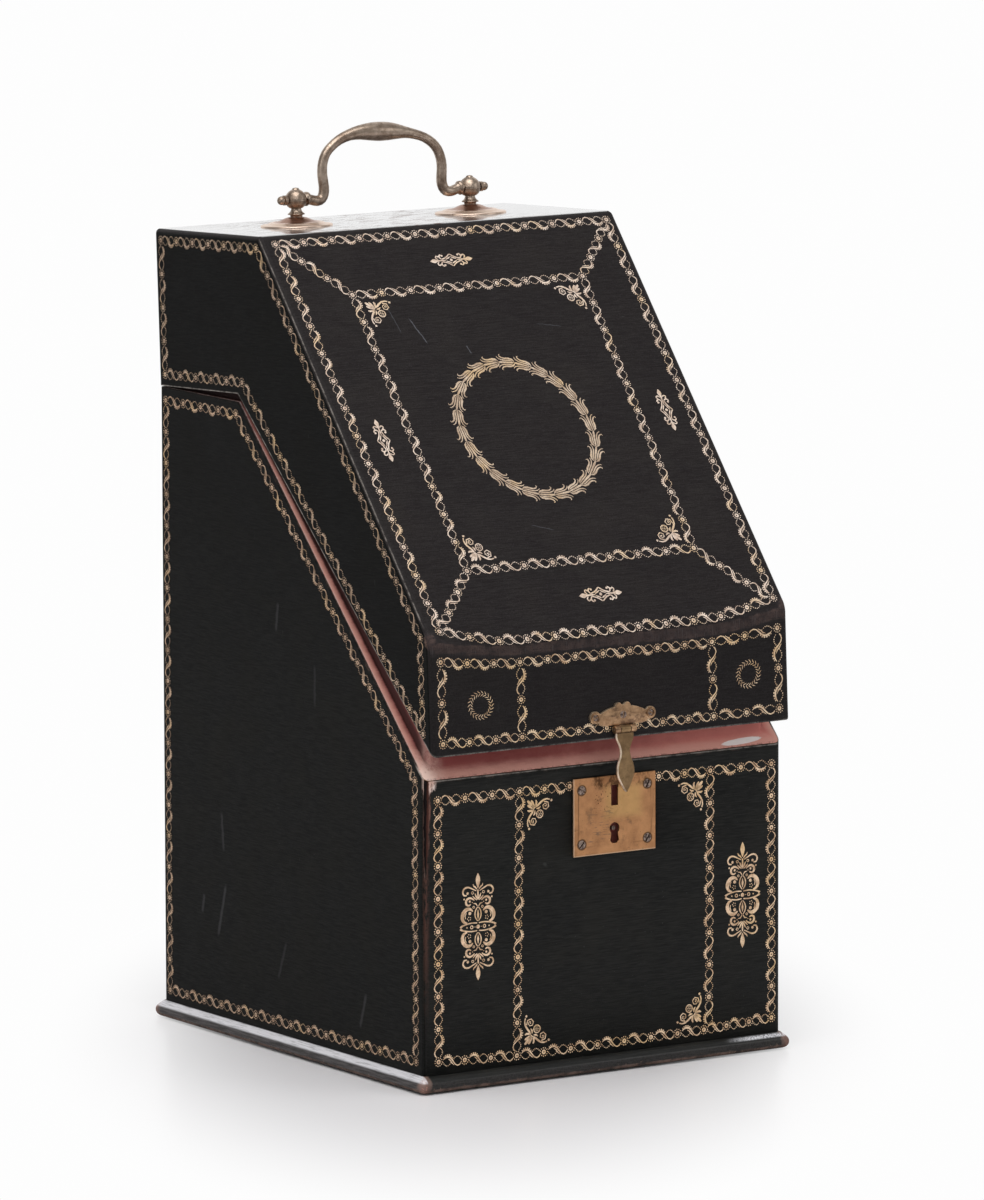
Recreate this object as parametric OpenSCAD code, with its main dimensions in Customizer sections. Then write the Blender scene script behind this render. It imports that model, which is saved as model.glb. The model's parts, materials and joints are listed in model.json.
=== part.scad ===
// Slope-front cutlery case: a wooden carcass covered in dark leather, with a hinged lid that
// seats over a raised inner rim, a brass carrying handle, a hasp and a lock.
// Origin: middle of the underside. +X to the right, the front faces -Y, +Z up. Millimetres.

/* [Case] */
// Outside width of the case over its leather
case_w = 200; // [180:5:240]
// Outside depth of the case over its leather
case_d = 232; // [216:4:264]
// Thickness of the wooden walls of the case
wall_t = 4.5; // [4:0.25:6]
// Thickness of the leather on case and lid
leather_t = 1; // [0.8:0.1:1.4]
// Thickness of the base board, with its rounded edge
base_board_t = 7.6; // [6:0.2:10]
// How far the base board stands out beyond the leather
base_lip = 3.5; // [2:0.5:5]
// Thickness of the cloth under the base
baize_t = 0.8; // [0.6:0.1:1.2]
// How far the cloth stays back from the lip's outer edge
baize_inset = 5; // [4.5:0.5:8]

/* [Split between case and lid] */
// Height of the front edge of the case
split_front_h = 146.4; // [140:1:156]
// Depth of the level back stretch of the split
split_level_d = 71.3; // [62:1:80]
// Seam left between case and closed lid
split_gap = 0.4; // [0.3:0.05:0.8]
// How far the lid stands open at rest, in degrees
lid_ajar = 2.8; // [1:0.1:5]

/* [Lid] */
// Height of the closed lid's top above the underside
lid_h = 381; // [370:1:395]
// Height of the lid's back, from the split up to the top
lid_back_h = 75.4; // [70:1:82]
// Depth of the flat top
lid_top_d = 94; // [86:1:102]
// Height of the upright apron at the lid's front
apron_h = 54.6; // [50:1:60]
// Thickness of the lid's boards
lid_board_t = 3.6; // [3:0.1:4]
// Thickness of the lid's lining
lining_t = 0.5; // [0.3:0.1:0.6]

/* [Rim] */
// Thickness of the boards that form the inner rim
rim_t = 3.5; // [3:0.25:4.5]
// How far the rim stands above the split, square to it
rim_rise = 15; // [12:1:18]

/* [Cutlery rack] */
// Thickness of the rack's boards
rack_t = 2; // [1.5:0.25:3]
// How far the rack's top lies below the split, square to it
rack_drop = 10; // [6:1:16]
// Number of columns of cells
rack_columns = 6; // [6]
// Number of rows of cells
rack_rows = 4; // [4]
// Play in the laps of the rack's boards
lap_clear = 0.2; // [0.1:0.05:0.3]

/* [Lid hinges] */
// Length of a hinge
hinge_l = 36; // [30:1:44]
// Height of one leaf, measured from the axis
hinge_leaf_h = 14; // [12:0.5:16]
// Thickness of a leaf
hinge_leaf_t = 1.2; // [1:0.1:1.5]
// Radius of the knuckles
hinge_knuckle_r = 2.4; // [2.2:0.1:2.8]
// Radius of the hinge pins
hinge_pin_r = 1; // [0.8:0.1:1.2]
// Distance from the side of the case in to each hinge
hinge_in = 22; // [18:1:26]
// Radius of the hinge screws' heads
hinge_screw_head_r = 2; // [1.7:0.1:2.2]
// Length of the hinge screws
hinge_screw_l = 4.4; // [3.5:0.1:4.9]

/* [Handle] */
// Distance from the middle to each post
post_x = 49.2; // [44:0.5:54]
// Height of the handle's axis above the lid
post_h = 12.4; // [11:0.1:14]
// Radius of the ball that carries the handle
post_ball_r = 5.1; // [4.6:0.1:5.6]
// Radius of the threaded shank under a post
post_shank_r = 1.9; // [1.5:0.1:2.2]
// Radius of a rosette
rosette_r = 17.2; // [15:0.2:19]
// Height of a rosette
rosette_h = 4.2; // [3.6:0.1:5]
// Radius of the pins that the handle turns on
bail_pin_r = 1.55; // [1.3:0.05:1.8]
// Radius of the handle's bar
bail_bar_r = 2.45; // [2.2:0.05:2.8]
// Radius of the handle's bar at the middle of the grip
bail_grip_r = 4.4; // [3.6:0.1:5]
// Distance from the middle to each upright leg
bail_leg_x = 33.5; // [31:0.5:35]
// Height of the grip's middle above the handle's axis
bail_h = 28.2; // [26:0.2:34]
// Radius of the lower bends
bail_neck_r = 6; // [5:0.25:7]
// Radius of the bends that lead into the grip
bail_shoulder_r = 16; // [14:0.5:18]
// Radius of the small balls that keep the handle on
finial_r = 1.9; // [1.85:0.05:2.2]

/* [Hasp] */
// Distance of the hasp and lock from the middle, to the right
latch_x = 5; // [0:0.5:8]
// Height of the hasp's axis above the apron's lower edge
hasp_axis_up = 4.4; // [3.8:0.1:5]
// Radius of the hasp's knuckles
hasp_knuckle_r = 1.9; // [1.7:0.05:2]
// Radius of the hasp's pin
hasp_pin_r = 0.75; // [0.6:0.05:0.9]
// Length of the hasp's barrel
hasp_barrel_l = 11.8; // [10:0.2:14]
// Length of the leaf from its axis to its tip
hasp_leaf_l = 29.5; // [28:0.5:32]
// Half the greatest width of the leaf
hasp_leaf_half_w = 5.2; // [4.6:0.1:5.8]
// Thickness of the leaf
hasp_leaf_t = 1.5; // [1.2:0.1:1.5]
// Distance from the leaf's axis to the middle of its staple
staple_s = 23; // [22.6:0.1:23.2]
// Height of the staple
staple_h = 3.9; // [3.6:0.1:4]
// Thickness of the staple
staple_t = 1.8; // [1.4:0.1:2.2]
// How far the staple reaches in behind the face of the lock plate
staple_reach = 3.6; // [3.4:0.05:3.7]
// Radius of the hole in the staple
staple_eye_r = 0.95; // [0.9:0.05:1]
// Thickness of the plate above the hasp
hasp_plate_t = 1.4; // [1.2:0.1:1.6]
// Half the width of the plate above the hasp
hasp_plate_half_w = 17.8; // [16:0.2:20]
// Height of the plate above the hasp
hasp_plate_h = 9.4; // [8:0.2:11]

/* [Lock] */
// Width of the lock plate
lock_plate_w = 46; // [42:0.5:50]
// Height of the lock plate
lock_plate_h = 36.8; // [35:0.2:39]
// Thickness of the lock plate
lock_plate_t = 1; // [0.8:0.05:1.1]
// Distance from the front edge of the case down to the lock plate
lock_plate_drop = 6.3; // [5.6:0.1:6.8]
// Distance from the plate's sides in to its screws
plate_screw_in_x = 4.6; // [4:0.1:5]
// Distance from the plate's top and bottom in to its screws
plate_screw_in_z = 5.6; // [5:0.1:6]
// Width of the slot for the staple
slot_w = 3.8; // [3:0.1:4.2]
// Height of the slot for the staple
slot_h = 9.6; // [9.4:0.1:10]
// Distance from the plate's top down to the slot
slot_drop = 4.6; // [4.4:0.05:4.7]
// Radius of the round part of the keyhole
keyhole_r = 2.7; // [2.3:0.1:3]
// Distance from the plate's top down to the middle of the keyhole
keyhole_drop = 25; // [24:0.2:26]
// Length of the keyhole's skirt below its round part
keyhole_skirt = 7; // [6:0.2:8]
// Width of the lock's case
lock_case_w = 34; // [32:0.5:36]
// Depth of the lock's case behind the plate
lock_case_d = 6.5; // [6:0.1:7]
// Thickness of the lock case's walls
lock_case_t = 0.8; // [0.6:0.1:1]
// Thickness of the bolt
bolt_t = 1.5; // [1.2:0.1:1.6]
// Travel of the bolt
bolt_travel = 4.6; // [4:0.1:5]
// Radius of the bolt's round nose
bolt_nose_r = 0.7; // [0.6:0.02:0.76]
// Radius of the pin that guides the key
key_pin_r = 1; // [0.8:0.1:1.2]

/* [Hidden] */
$fn = 64;
// Play around a pin that turns
turn_clear = 0.05;
// Play around a screw or shank
screw_clear = 0.05;
// Gap between pieces that move past each other
move_gap = 0.3;
// Overlap that makes a cut run clean through
cut_over = 1;
// Shank radius, head radius and slot of the small wood screws
screw_shank_r = 0.9;
plate_screw_head_r = 1.9;
screw_slot_w = 0.5;
screw_slot_d = 0.35;
plate_screw_l = 4.6;
hasp_screw_l = 4.4;
// Gap between the hasp's leaf and the lock plate, and metal left behind the staple's hole
leaf_gap = 0.4;
staple_wall = 0.65;
// Distance from the lock plate's top and bottom in to the lock's case
lock_case_in = 2.5;
// Gap between the drawn-back bolt and the staple's slot
bolt_back = 0.5;
// How far an ear of the hasp's plate stands out beyond its crescent
hasp_ear_out = 0.6;

base_h = baize_t + base_board_t;
x_side = case_w / 2;
y_back = case_d / 2;
y_front = -case_d / 2;
wall_in = leather_t + wall_t;
rack_in = wall_in + rim_t;
lid_in = leather_t + lid_board_t;
lining_in = lid_in + lining_t;
fold_h = split_front_h + apron_h;
split_back_h = lid_h - lid_back_h;

// Slants of the split and of the sloping front, measured from level
split_y = y_back - split_level_d;
split_tilt = atan2(split_back_h - split_front_h, split_y - y_front);
lid_top_y = y_back - lid_top_d;
slope_tilt = atan2(lid_h - fold_h, lid_top_y - y_front);

hinge_x = x_side - hinge_in - hinge_l / 2;
hinge_y = y_back + hinge_knuckle_r + move_gap;
hinge_z = split_back_h;
hinge_knuckles = 5;
hinge_leaf_start = hinge_knuckle_r + 2 * move_gap;

handle_y = y_back - lid_top_d / 2;
handle_z = lid_h + post_h;
post_nut_r = 4.2;
post_nut_h = 3;

apron_z = split_z(y_front, split_gap);
hasp_y = y_front - hasp_knuckle_r - move_gap;
hasp_z = apron_z + hasp_axis_up;
hasp_plate_z = hasp_z + hasp_knuckle_r;
hasp_ear_r = 3;
hasp_ear_x = hasp_plate_half_w - hasp_ear_r + hasp_ear_out;
hasp_ear_z = 4.4;
hasp_leaf_back_y = y_front - lock_plate_t - leaf_gap;

lock_top_z = split_front_h - lock_plate_drop;
slot_z = lock_top_z - slot_drop - slot_h;
keyhole_z = lock_top_z - keyhole_drop;
staple_z = hasp_z - staple_s;
staple_eye_y = y_front - lock_plate_t + staple_reach - staple_eye_r - staple_wall;
lock_case_h = lock_plate_h - 2 * lock_case_in;
lock_case_z = lock_top_z - lock_case_in - lock_case_h;
bolt_rest_x = latch_x - slot_w / 2 - bolt_back;

leather_color = [0.1, 0.12, 0.11];
rim_color = [0.69, 0.4, 0.37];
wood_color = [0.62, 0.47, 0.3];
brass_color = [0.72, 0.56, 0.34];
bronze_color = [0.5, 0.42, 0.33];
steel_color = [0.45, 0.45, 0.46];
baize_color = [0.2, 0.3, 0.22];

RACK_LONG = [for (i = [1 : rack_columns - 1]) str("rack_long_", i)];
RACK_CROSS = [for (i = [1 : rack_rows - 1]) str("rack_cross_", i)];

// Corner of the split, moved up square to the split by a distance
function split_corner(up) = [split_y - up * tan(split_tilt / 2), split_back_h + up];

// Height of the split at a depth y, moved up square to the split by a distance
function split_z(y, up) = y >= split_corner(up)[0]
    ? split_back_h + up
    : split_back_h + up + (y - split_corner(up)[0]) * tan(split_tilt);

// Corners of the closed lid's outline, moved in square to its faces by a distance
function top_corner(inset) = [lid_top_y + inset * tan(slope_tilt / 2), lid_h - inset];
function fold_corner(inset) = [y_front + inset, fold_h - inset * tan(45 - slope_tilt / 2)];

// Outline of a side of the case, with its front and back moved in and its top edge moved up
function case_side(inset, up, floor_z) = [
    [y_front + inset, floor_z],
    [y_back - inset, floor_z],
    [y_back - inset, split_back_h + up],
    split_corner(up),
    [y_front + inset, split_z(y_front + inset, up)]];

// Outline of a side of the closed lid, with its outer edges moved in
function lid_side(inset) = [
    [y_back - inset, split_back_h + split_gap],
    [y_back - inset, lid_h - inset],
    top_corner(inset),
    fold_corner(inset),
    [y_front + inset, split_z(y_front + inset, split_gap)],
    split_corner(split_gap)];

// Extrudes an outline drawn in depth and height from one x to another
module along_x(x0, x1) {
    translate([x0, 0, 0])
        rotate([90, 0, 90])
            linear_extrude(x1 - x0)
                children();
}

// Puts a piece of the closed lid where the ajar lid holds it
module on_lid() {
    translate([0, hinge_y, hinge_z])
        rotate([-lid_ajar, 0, 0])
            translate([0, -hinge_y, -hinge_z])
                children();
}

// Countersunk wood screw along -Z, with its head's face at the origin
module wood_screw(head_r, length) {
    difference() {
        union() {
            translate([0, 0, screw_shank_r - head_r])
                cylinder(h = head_r - screw_shank_r, r1 = screw_shank_r, r2 = head_r);
            translate([0, 0, -length])
                cylinder(h = length, r = screw_shank_r);
        }
        translate([-head_r, -screw_slot_w / 2, -screw_slot_d])
            cube([2 * head_r, screw_slot_w, screw_slot_d + cut_over]);
    }
}

// Hole that a countersunk wood screw fits in
module screw_hole(head_r, length) {
    translate([0, 0, screw_shank_r - head_r])
        cylinder(h = head_r - screw_shank_r, r1 = screw_shank_r + screw_clear, r2 = head_r + screw_clear);
    translate([0, 0, -length - screw_clear])
        cylinder(h = length + screw_clear + cut_over, r = screw_shank_r + screw_clear);
}

// Base

module base_baize() {
    inset = baize_inset - base_lip;
    color(baize_color)
        translate([-x_side + inset, y_front + inset, 0])
            cube([case_w - 2 * inset, case_d - 2 * inset, baize_t]);
}

module base_board() {
    edge_r = base_board_t / 2;
    half_x = x_side + base_lip - edge_r;
    half_y = y_back + base_lip - edge_r;
    color(leather_color)
        translate([0, 0, baize_t + edge_r])
            union() {
                translate([-half_x, -half_y, -edge_r])
                    cube([2 * half_x, 2 * half_y, base_board_t]);
                for (side = [-1, 1]) {
                    translate([side * half_x, -half_y, 0])
                        rotate([-90, 0, 0])
                            cylinder(h = 2 * half_y, r = edge_r);
                    translate([-half_x, side * half_y, 0])
                        rotate([0, 90, 0])
                            cylinder(h = 2 * half_x, r = edge_r);
                    for (end = [-1, 1])
                        translate([side * half_x, end * half_y, 0])
                            sphere(r = edge_r);
                }
            }
}

// Walls and their leather

module lock_mortise(depth) {
    translate([latch_x - lock_case_w / 2 - screw_clear, y_front - cut_over, lock_case_z - screw_clear])
        cube([lock_case_w + 2 * screw_clear, depth + cut_over, lock_case_h + 2 * screw_clear]);
}

module at_plate_screws() {
    half_x = lock_plate_w / 2 - plate_screw_in_x;
    mid_z = lock_top_z - lock_plate_h / 2;
    half_z = lock_plate_h / 2 - plate_screw_in_z;
    for (side = [-1, 1], level = [-1, 1])
        translate([latch_x + side * half_x, y_front - lock_plate_t, mid_z + level * half_z])
            rotate([90, 0, 0])
                children();
}

module at_case_hinge_screws() {
    for (side = [-1, 1], end = [-1, 1])
        translate([side * hinge_x + end * hinge_l / 4, y_back + hinge_leaf_t, hinge_z - hinge_screw_z()])
            rotate([-90, 0, 0])
                children();
}

module at_lid_hinge_screws() {
    for (side = [-1, 1], end = [-1, 1])
        translate([side * hinge_x + end * hinge_l / 4, y_back + hinge_leaf_t, hinge_z + hinge_screw_z()])
            rotate([-90, 0, 0])
                children();
}

// Height of the hinge screws from the axis, midway up the flat of a leaf
function hinge_screw_z() = (hinge_leaf_start + hinge_leaf_h) / 2;

module front_board() {
    color(wood_color)
        difference() {
            translate([-x_side + wall_in, y_front + leather_t, base_h])
                cube([case_w - 2 * wall_in, wall_t, split_front_h - base_h]);
            lock_mortise(wall_in + cut_over);
            at_plate_screws()
                screw_hole(plate_screw_head_r, plate_screw_l);
        }
}

module front_leather() {
    color(leather_color)
        difference() {
            translate([-x_side, y_front, base_h])
                cube([case_w, leather_t, split_front_h - base_h]);
            lock_mortise(wall_in);
            at_plate_screws()
                screw_hole(plate_screw_head_r, plate_screw_l);
        }
}

module back_board() {
    color(wood_color)
        difference() {
            translate([-x_side + wall_in, y_back - wall_in, base_h])
                cube([case_w - 2 * wall_in, wall_t, split_back_h - base_h]);
            at_case_hinge_screws()
                screw_hole(hinge_screw_head_r, hinge_screw_l);
        }
}

module back_leather() {
    color(leather_color)
        difference() {
            translate([-x_side, y_back - leather_t, base_h])
                cube([case_w, leather_t, split_back_h - base_h]);
            at_case_hinge_screws()
                screw_hole(hinge_screw_head_r, hinge_screw_l);
        }
}

module side_board(side) {
    inner = x_side - wall_in;
    outer = x_side - leather_t;
    color(wood_color)
        along_x(side > 0 ? inner : -outer, side > 0 ? outer : -inner)
            polygon(case_side(leather_t, 0, base_h));
}

module side_leather(side) {
    inner = x_side - leather_t;
    color(leather_color)
        along_x(side > 0 ? inner : -x_side, side > 0 ? x_side : -inner)
            polygon(case_side(leather_t, 0, base_h));
}

// Inner rim that the lid seats over

module rim_side(side) {
    inner = x_side - rack_in;
    outer = x_side - wall_in;
    color(rim_color)
        along_x(side > 0 ? inner : -outer, side > 0 ? outer : -inner)
            polygon(case_side(wall_in, rim_rise, base_h));
}

module rim_front() {
    color(rim_color)
        difference() {
            translate([-x_side + rack_in, y_front + wall_in, base_h])
                cube([case_w - 2 * rack_in, rim_t, split_z(y_front + wall_in, rim_rise) - base_h]);
            lock_mortise(lock_case_d + screw_clear);
        }
}

module rim_back() {
    color(rim_color)
        translate([-x_side + rack_in, y_back - rack_in, base_h])
            cube([case_w - 2 * rack_in, rim_t, split_back_h + rim_rise - base_h]);
}

module floor_lining() {
    color(rim_color)
        translate([-x_side + rack_in, y_front + rack_in, base_h])
            cube([case_w - 2 * rack_in, case_d - 2 * rack_in, lining_t]);
}

// Cutlery rack: boards halved into each other

rack_z = base_h + lining_t;
rack_inner_w = case_w - 2 * rack_in;
rack_inner_d = case_d - 2 * rack_in;

function rack_x(i) = -rack_inner_w / 2 + i * rack_inner_w / rack_columns;
function rack_y(i) = -rack_inner_d / 2 + i * rack_inner_d / rack_rows;
function cross_top(i) = split_z(rack_y(i) - rack_t / 2, -rack_drop);
function lap_z(i) = (rack_z + cross_top(i)) / 2;

module rack_long(i) {
    color(wood_color)
        difference() {
            along_x(rack_x(i) - rack_t / 2, rack_x(i) + rack_t / 2)
                polygon(case_side(rack_in, -rack_drop, rack_z));
            for (j = [1 : rack_rows - 1])
                translate([rack_x(i) - rack_t, rack_y(j) - (rack_t + lap_clear) / 2, lap_z(j) - lap_clear / 2])
                    cube([2 * rack_t, rack_t + lap_clear, split_back_h]);
        }
}

module rack_cross(j) {
    color(wood_color)
        difference() {
            translate([-rack_inner_w / 2, rack_y(j) - rack_t / 2, rack_z])
                cube([rack_inner_w, rack_t, cross_top(j) - rack_z]);
            for (i = [1 : rack_columns - 1])
                translate([rack_x(i) - (rack_t + lap_clear) / 2, rack_y(j) - rack_t, rack_z - cut_over])
                    cube([rack_t + lap_clear, 2 * rack_t, lap_z(j) - rack_z + cut_over]);
        }
}

// Lock

module lock_plate() {
    color(brass_color)
        difference() {
            translate([latch_x - lock_plate_w / 2, y_front - lock_plate_t, lock_top_z - lock_plate_h])
                cube([lock_plate_w, lock_plate_t, lock_plate_h]);
            at_plate_screws()
                screw_hole(plate_screw_head_r, plate_screw_l);
            translate([latch_x - slot_w / 2, y_front - lock_plate_t - cut_over, slot_z])
                cube([slot_w, lock_plate_t + 2 * cut_over, slot_h]);
            translate([latch_x, y_front + cut_over, keyhole_z])
                rotate([90, 0, 0])
                    linear_extrude(lock_plate_t + 2 * cut_over)
                        keyhole_skirt_outline();
            translate([latch_x, y_front + cut_over, keyhole_z])
                rotate([90, 0, 0])
                    cylinder(h = lock_plate_t + 2 * cut_over, r = keyhole_r);
        }
}

module keyhole_skirt_outline() {
    waist = keyhole_r * 0.55;
    foot = keyhole_r * 0.9;
    polygon([[-waist, 0], [waist, 0], [foot, -keyhole_skirt + foot / 2], [foot / 2, -keyhole_skirt],
        [-foot / 2, -keyhole_skirt], [-foot, -keyhole_skirt + foot / 2]]);
}

module lock_plate_screws() {
    color(steel_color)
        at_plate_screws()
            wood_screw(plate_screw_head_r, plate_screw_l);
}

module lock_case() {
    color(steel_color)
        translate([latch_x, y_front, lock_case_z])
            difference() {
                translate([-lock_case_w / 2, 0, 0])
                    cube([lock_case_w, lock_case_d, lock_case_h]);
                translate([-lock_case_w / 2 + lock_case_t, -cut_over, lock_case_t])
                    cube([lock_case_w - 2 * lock_case_t, lock_case_d - lock_case_t + cut_over,
                        lock_case_h - 2 * lock_case_t]);
            }
}

module key_pin() {
    color(steel_color)
        translate([latch_x, y_front + lock_case_d - lock_case_t, keyhole_z])
            rotate([90, 0, 0])
                cylinder(h = lock_case_d - lock_case_t, r = key_pin_r);
}

// Flat spring over the bolt, bowed between the lock case's top and the bolt's tail
module lock_spring() {
    spring_t = 0.5;
    bow = 2;
    left = latch_x - lock_case_w / 2 + lock_case_t;
    roof = lock_case_z + lock_case_h - lock_case_t;
    length = 14;
    line = [for (t = [0 : 0.125 : 1]) [left + t * length, roof - 2 * bow * sin(180 * t) * t]];
    color(steel_color)
        translate([0, y_front + 2 * move_gap + bolt_t, 0])
            rotate([90, 0, 0])
                linear_extrude(bolt_t)
                    polygon(concat(line, [for (i = [len(line) - 1 : -1 : 0]) line[i] - [0, spring_t]]));
}

// Bolt: a tail plate with a notch for the key and a round nose that enters the staple
module lock_bolt() {
    tail_w = 9;
    tail_h = 10.4;
    arm_h = 3.6;
    notch_half_w = 2.2;
    notch_d = 1.6;
    arm_end = 8;
    foot_z = keyhole_z + 5.4;
    nose_root = latch_x - staple_t / 2 - move_gap - bolt_travel;
    color(brass_color)
        union() {
            translate([0, staple_eye_y + bolt_t / 2, 0])
                rotate([90, 0, 0])
                    linear_extrude(bolt_t)
                        difference() {
                            union() {
                                translate([nose_root - tail_w, foot_z])
                                    square([tail_w, tail_h]);
                                translate([nose_root - tail_w, foot_z])
                                    square([tail_w + latch_x - nose_root + arm_end, arm_h]);
                            }
                            translate([latch_x - notch_half_w, foot_z - cut_over])
                                square([2 * notch_half_w, notch_d + cut_over]);
                        }
            translate([nose_root - 1, staple_eye_y, staple_z])
                rotate([0, 90, 0])
                    cylinder(h = bolt_rest_x - nose_root + 1, r = bolt_nose_r);
        }
}

// Lid hinges: one leaf on the case's back and one on the lid's, turning on a common pin

module hinge_leaf(x_mid, up, first) {
    knuckle_l = hinge_l / hinge_knuckles;
    color(brass_color)
        difference() {
            union() {
                translate([x_mid - hinge_l / 2, y_back, hinge_z + (up > 0 ? hinge_leaf_start : -hinge_leaf_h)])
                    cube([hinge_l, hinge_leaf_t, hinge_leaf_h - hinge_leaf_start]);
                for (i = [first : 2 : hinge_knuckles - 1])
                    translate([x_mid - hinge_l / 2 + i * knuckle_l + move_gap / 2, 0, 0]) {
                        translate([0, y_back, hinge_z + (up > 0 ? move_gap : -hinge_leaf_start)])
                            cube([knuckle_l - move_gap, hinge_leaf_t, hinge_leaf_start - move_gap]);
                        translate([0, hinge_y, hinge_z])
                            rotate([0, 90, 0])
                                cylinder(h = knuckle_l - move_gap, r = hinge_knuckle_r);
                    }
            }
            translate([x_mid - hinge_l / 2 - cut_over, hinge_y, hinge_z])
                rotate([0, 90, 0])
                    cylinder(h = hinge_l + 2 * cut_over, r = hinge_pin_r + turn_clear);
            if (up > 0)
                at_lid_hinge_screws()
                    screw_hole(hinge_screw_head_r, hinge_screw_l);
            else
                at_case_hinge_screws()
                    screw_hole(hinge_screw_head_r, hinge_screw_l);
        }
}

module hinge_pins() {
    head_t = 1;
    head_r = (hinge_pin_r + hinge_knuckle_r) / 2;
    color(bronze_color)
        for (side = [-1, 1])
            translate([side * hinge_x, hinge_y, hinge_z])
                rotate([0, 90, 0]) {
                    translate([0, 0, -hinge_l / 2])
                        cylinder(h = hinge_l, r = hinge_pin_r);
                    for (end = [-1, 1])
                        translate([0, 0, end * (hinge_l / 2 + head_t / 2) - head_t / 2])
                            cylinder(h = head_t, r = head_r);
                }
}

module case_hinge_screws() {
    color(brass_color)
        at_case_hinge_screws()
            wood_screw(hinge_screw_head_r, hinge_screw_l);
}

module lid_hinge_screws() {
    color(brass_color)
        on_lid()
            at_lid_hinge_screws()
                wood_screw(hinge_screw_head_r, hinge_screw_l);
}

// Lid boards, mitred along the top edge and the fold

module lid_between(points) {
    along_x(-x_side + lid_in, x_side - lid_in)
        polygon(points);
}

module at_posts() {
    for (side = [-1, 1])
        translate([side * post_x, handle_y, lid_h])
            children();
}

module post_holes() {
    at_posts()
        translate([0, 0, -lining_in - cut_over])
            cylinder(h = lining_in + 2 * cut_over, r = post_shank_r + screw_clear);
}

module at_hasp_screws() {
    for (place = [[-hasp_ear_x, hasp_ear_z], [0, hasp_plate_h / 2], [hasp_ear_x, hasp_ear_z]])
        translate([latch_x + place[0], y_front - hasp_plate_t, hasp_plate_z + place[1]])
            rotate([90, 0, 0])
                children();
}

// Room for the side walls of the case at both lower ends of the apron
module wall_notches() {
    notch_x = x_side - wall_in - move_gap;
    notch_y = y_front + lining_in + cut_over;
    for (side = [-1, 1])
        along_x(side > 0 ? notch_x : -x_side, side > 0 ? x_side : -notch_x)
            polygon([[y_front, split_z(y_front, split_gap)], [y_front, apron_z - cut_over],
                [notch_y, apron_z - cut_over], [notch_y, split_z(notch_y, split_gap)]]);
}

module lid_top_board() {
    color(wood_color)
        on_lid()
            difference() {
                lid_between([[y_back - leather_t, lid_h - leather_t], top_corner(leather_t),
                    top_corner(lid_in), [y_back - leather_t, lid_h - lid_in]]);
                post_holes();
            }
}

module lid_slope_board() {
    color(wood_color)
        on_lid()
            lid_between([top_corner(leather_t), fold_corner(leather_t),
                fold_corner(lid_in), top_corner(lid_in)]);
}

module lid_apron_board() {
    color(wood_color)
        on_lid()
            difference() {
                lid_between([fold_corner(leather_t), [y_front + leather_t, apron_z],
                    [y_front + lid_in, apron_z], fold_corner(lid_in)]);
                wall_notches();
                at_hasp_screws()
                    screw_hole(plate_screw_head_r, hasp_screw_l);
            }
}

module lid_back_board() {
    color(wood_color)
        on_lid()
            difference() {
                translate([-x_side + lid_in, y_back - lid_in, split_back_h + split_gap])
                    cube([case_w - 2 * lid_in, lid_board_t, lid_h - lid_in - split_back_h - split_gap]);
                at_lid_hinge_screws()
                    screw_hole(hinge_screw_head_r, hinge_screw_l);
            }
}

module lid_side_board(side) {
    inner = x_side - lid_in;
    outer = x_side - leather_t;
    color(wood_color)
        on_lid()
            along_x(side > 0 ? inner : -outer, side > 0 ? outer : -inner)
                polygon(lid_side(leather_t));
}

// Lid leather: one strip over top, slope and apron, and panels on the back and sides

module lid_front_leather() {
    color(leather_color)
        on_lid()
            difference() {
                along_x(-x_side, x_side)
                    polygon([[y_back, lid_h], top_corner(0), fold_corner(0), [y_front, apron_z],
                        [y_front + leather_t, apron_z], fold_corner(leather_t),
                        top_corner(leather_t), [y_back, lid_h - leather_t]]);
                post_holes();
                at_hasp_screws()
                    screw_hole(plate_screw_head_r, hasp_screw_l);
            }
}

module lid_back_leather() {
    color(leather_color)
        on_lid()
            difference() {
                translate([-x_side, y_back - leather_t, split_back_h + split_gap])
                    cube([case_w, leather_t, lid_h - leather_t - split_back_h - split_gap]);
                at_lid_hinge_screws()
                    screw_hole(hinge_screw_head_r, hinge_screw_l);
            }
}

module lid_side_leather(side) {
    inner = x_side - leather_t;
    color(leather_color)
        on_lid()
            along_x(side > 0 ? inner : -x_side, side > 0 ? x_side : -inner)
                polygon(lid_side(leather_t));
}

// Lid lining: one strip around the inside, and a panel on each side

module lid_lining() {
    low_back = [y_back - lid_in, split_back_h + split_gap];
    color(rim_color)
        on_lid()
            difference() {
                along_x(-x_side + lid_in, x_side - lid_in)
                    polygon([low_back, [y_back - lid_in, lid_h - lid_in], top_corner(lid_in),
                        fold_corner(lid_in), [y_front + lid_in, apron_z],
                        [y_front + lining_in, apron_z], fold_corner(lining_in),
                        top_corner(lining_in), [y_back - lining_in, lid_h - lining_in],
                        low_back - [lining_t, 0]]);
                wall_notches();
                post_holes();
            }
}

module lid_side_linings() {
    color(rim_color)
        on_lid()
            for (side = [-1, 1])
                along_x(side > 0 ? x_side - lining_in : -x_side + lid_in,
                    side > 0 ? x_side - lid_in : -x_side + lining_in)
                    polygon(lid_side(lining_in));
}

// Handle

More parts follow.
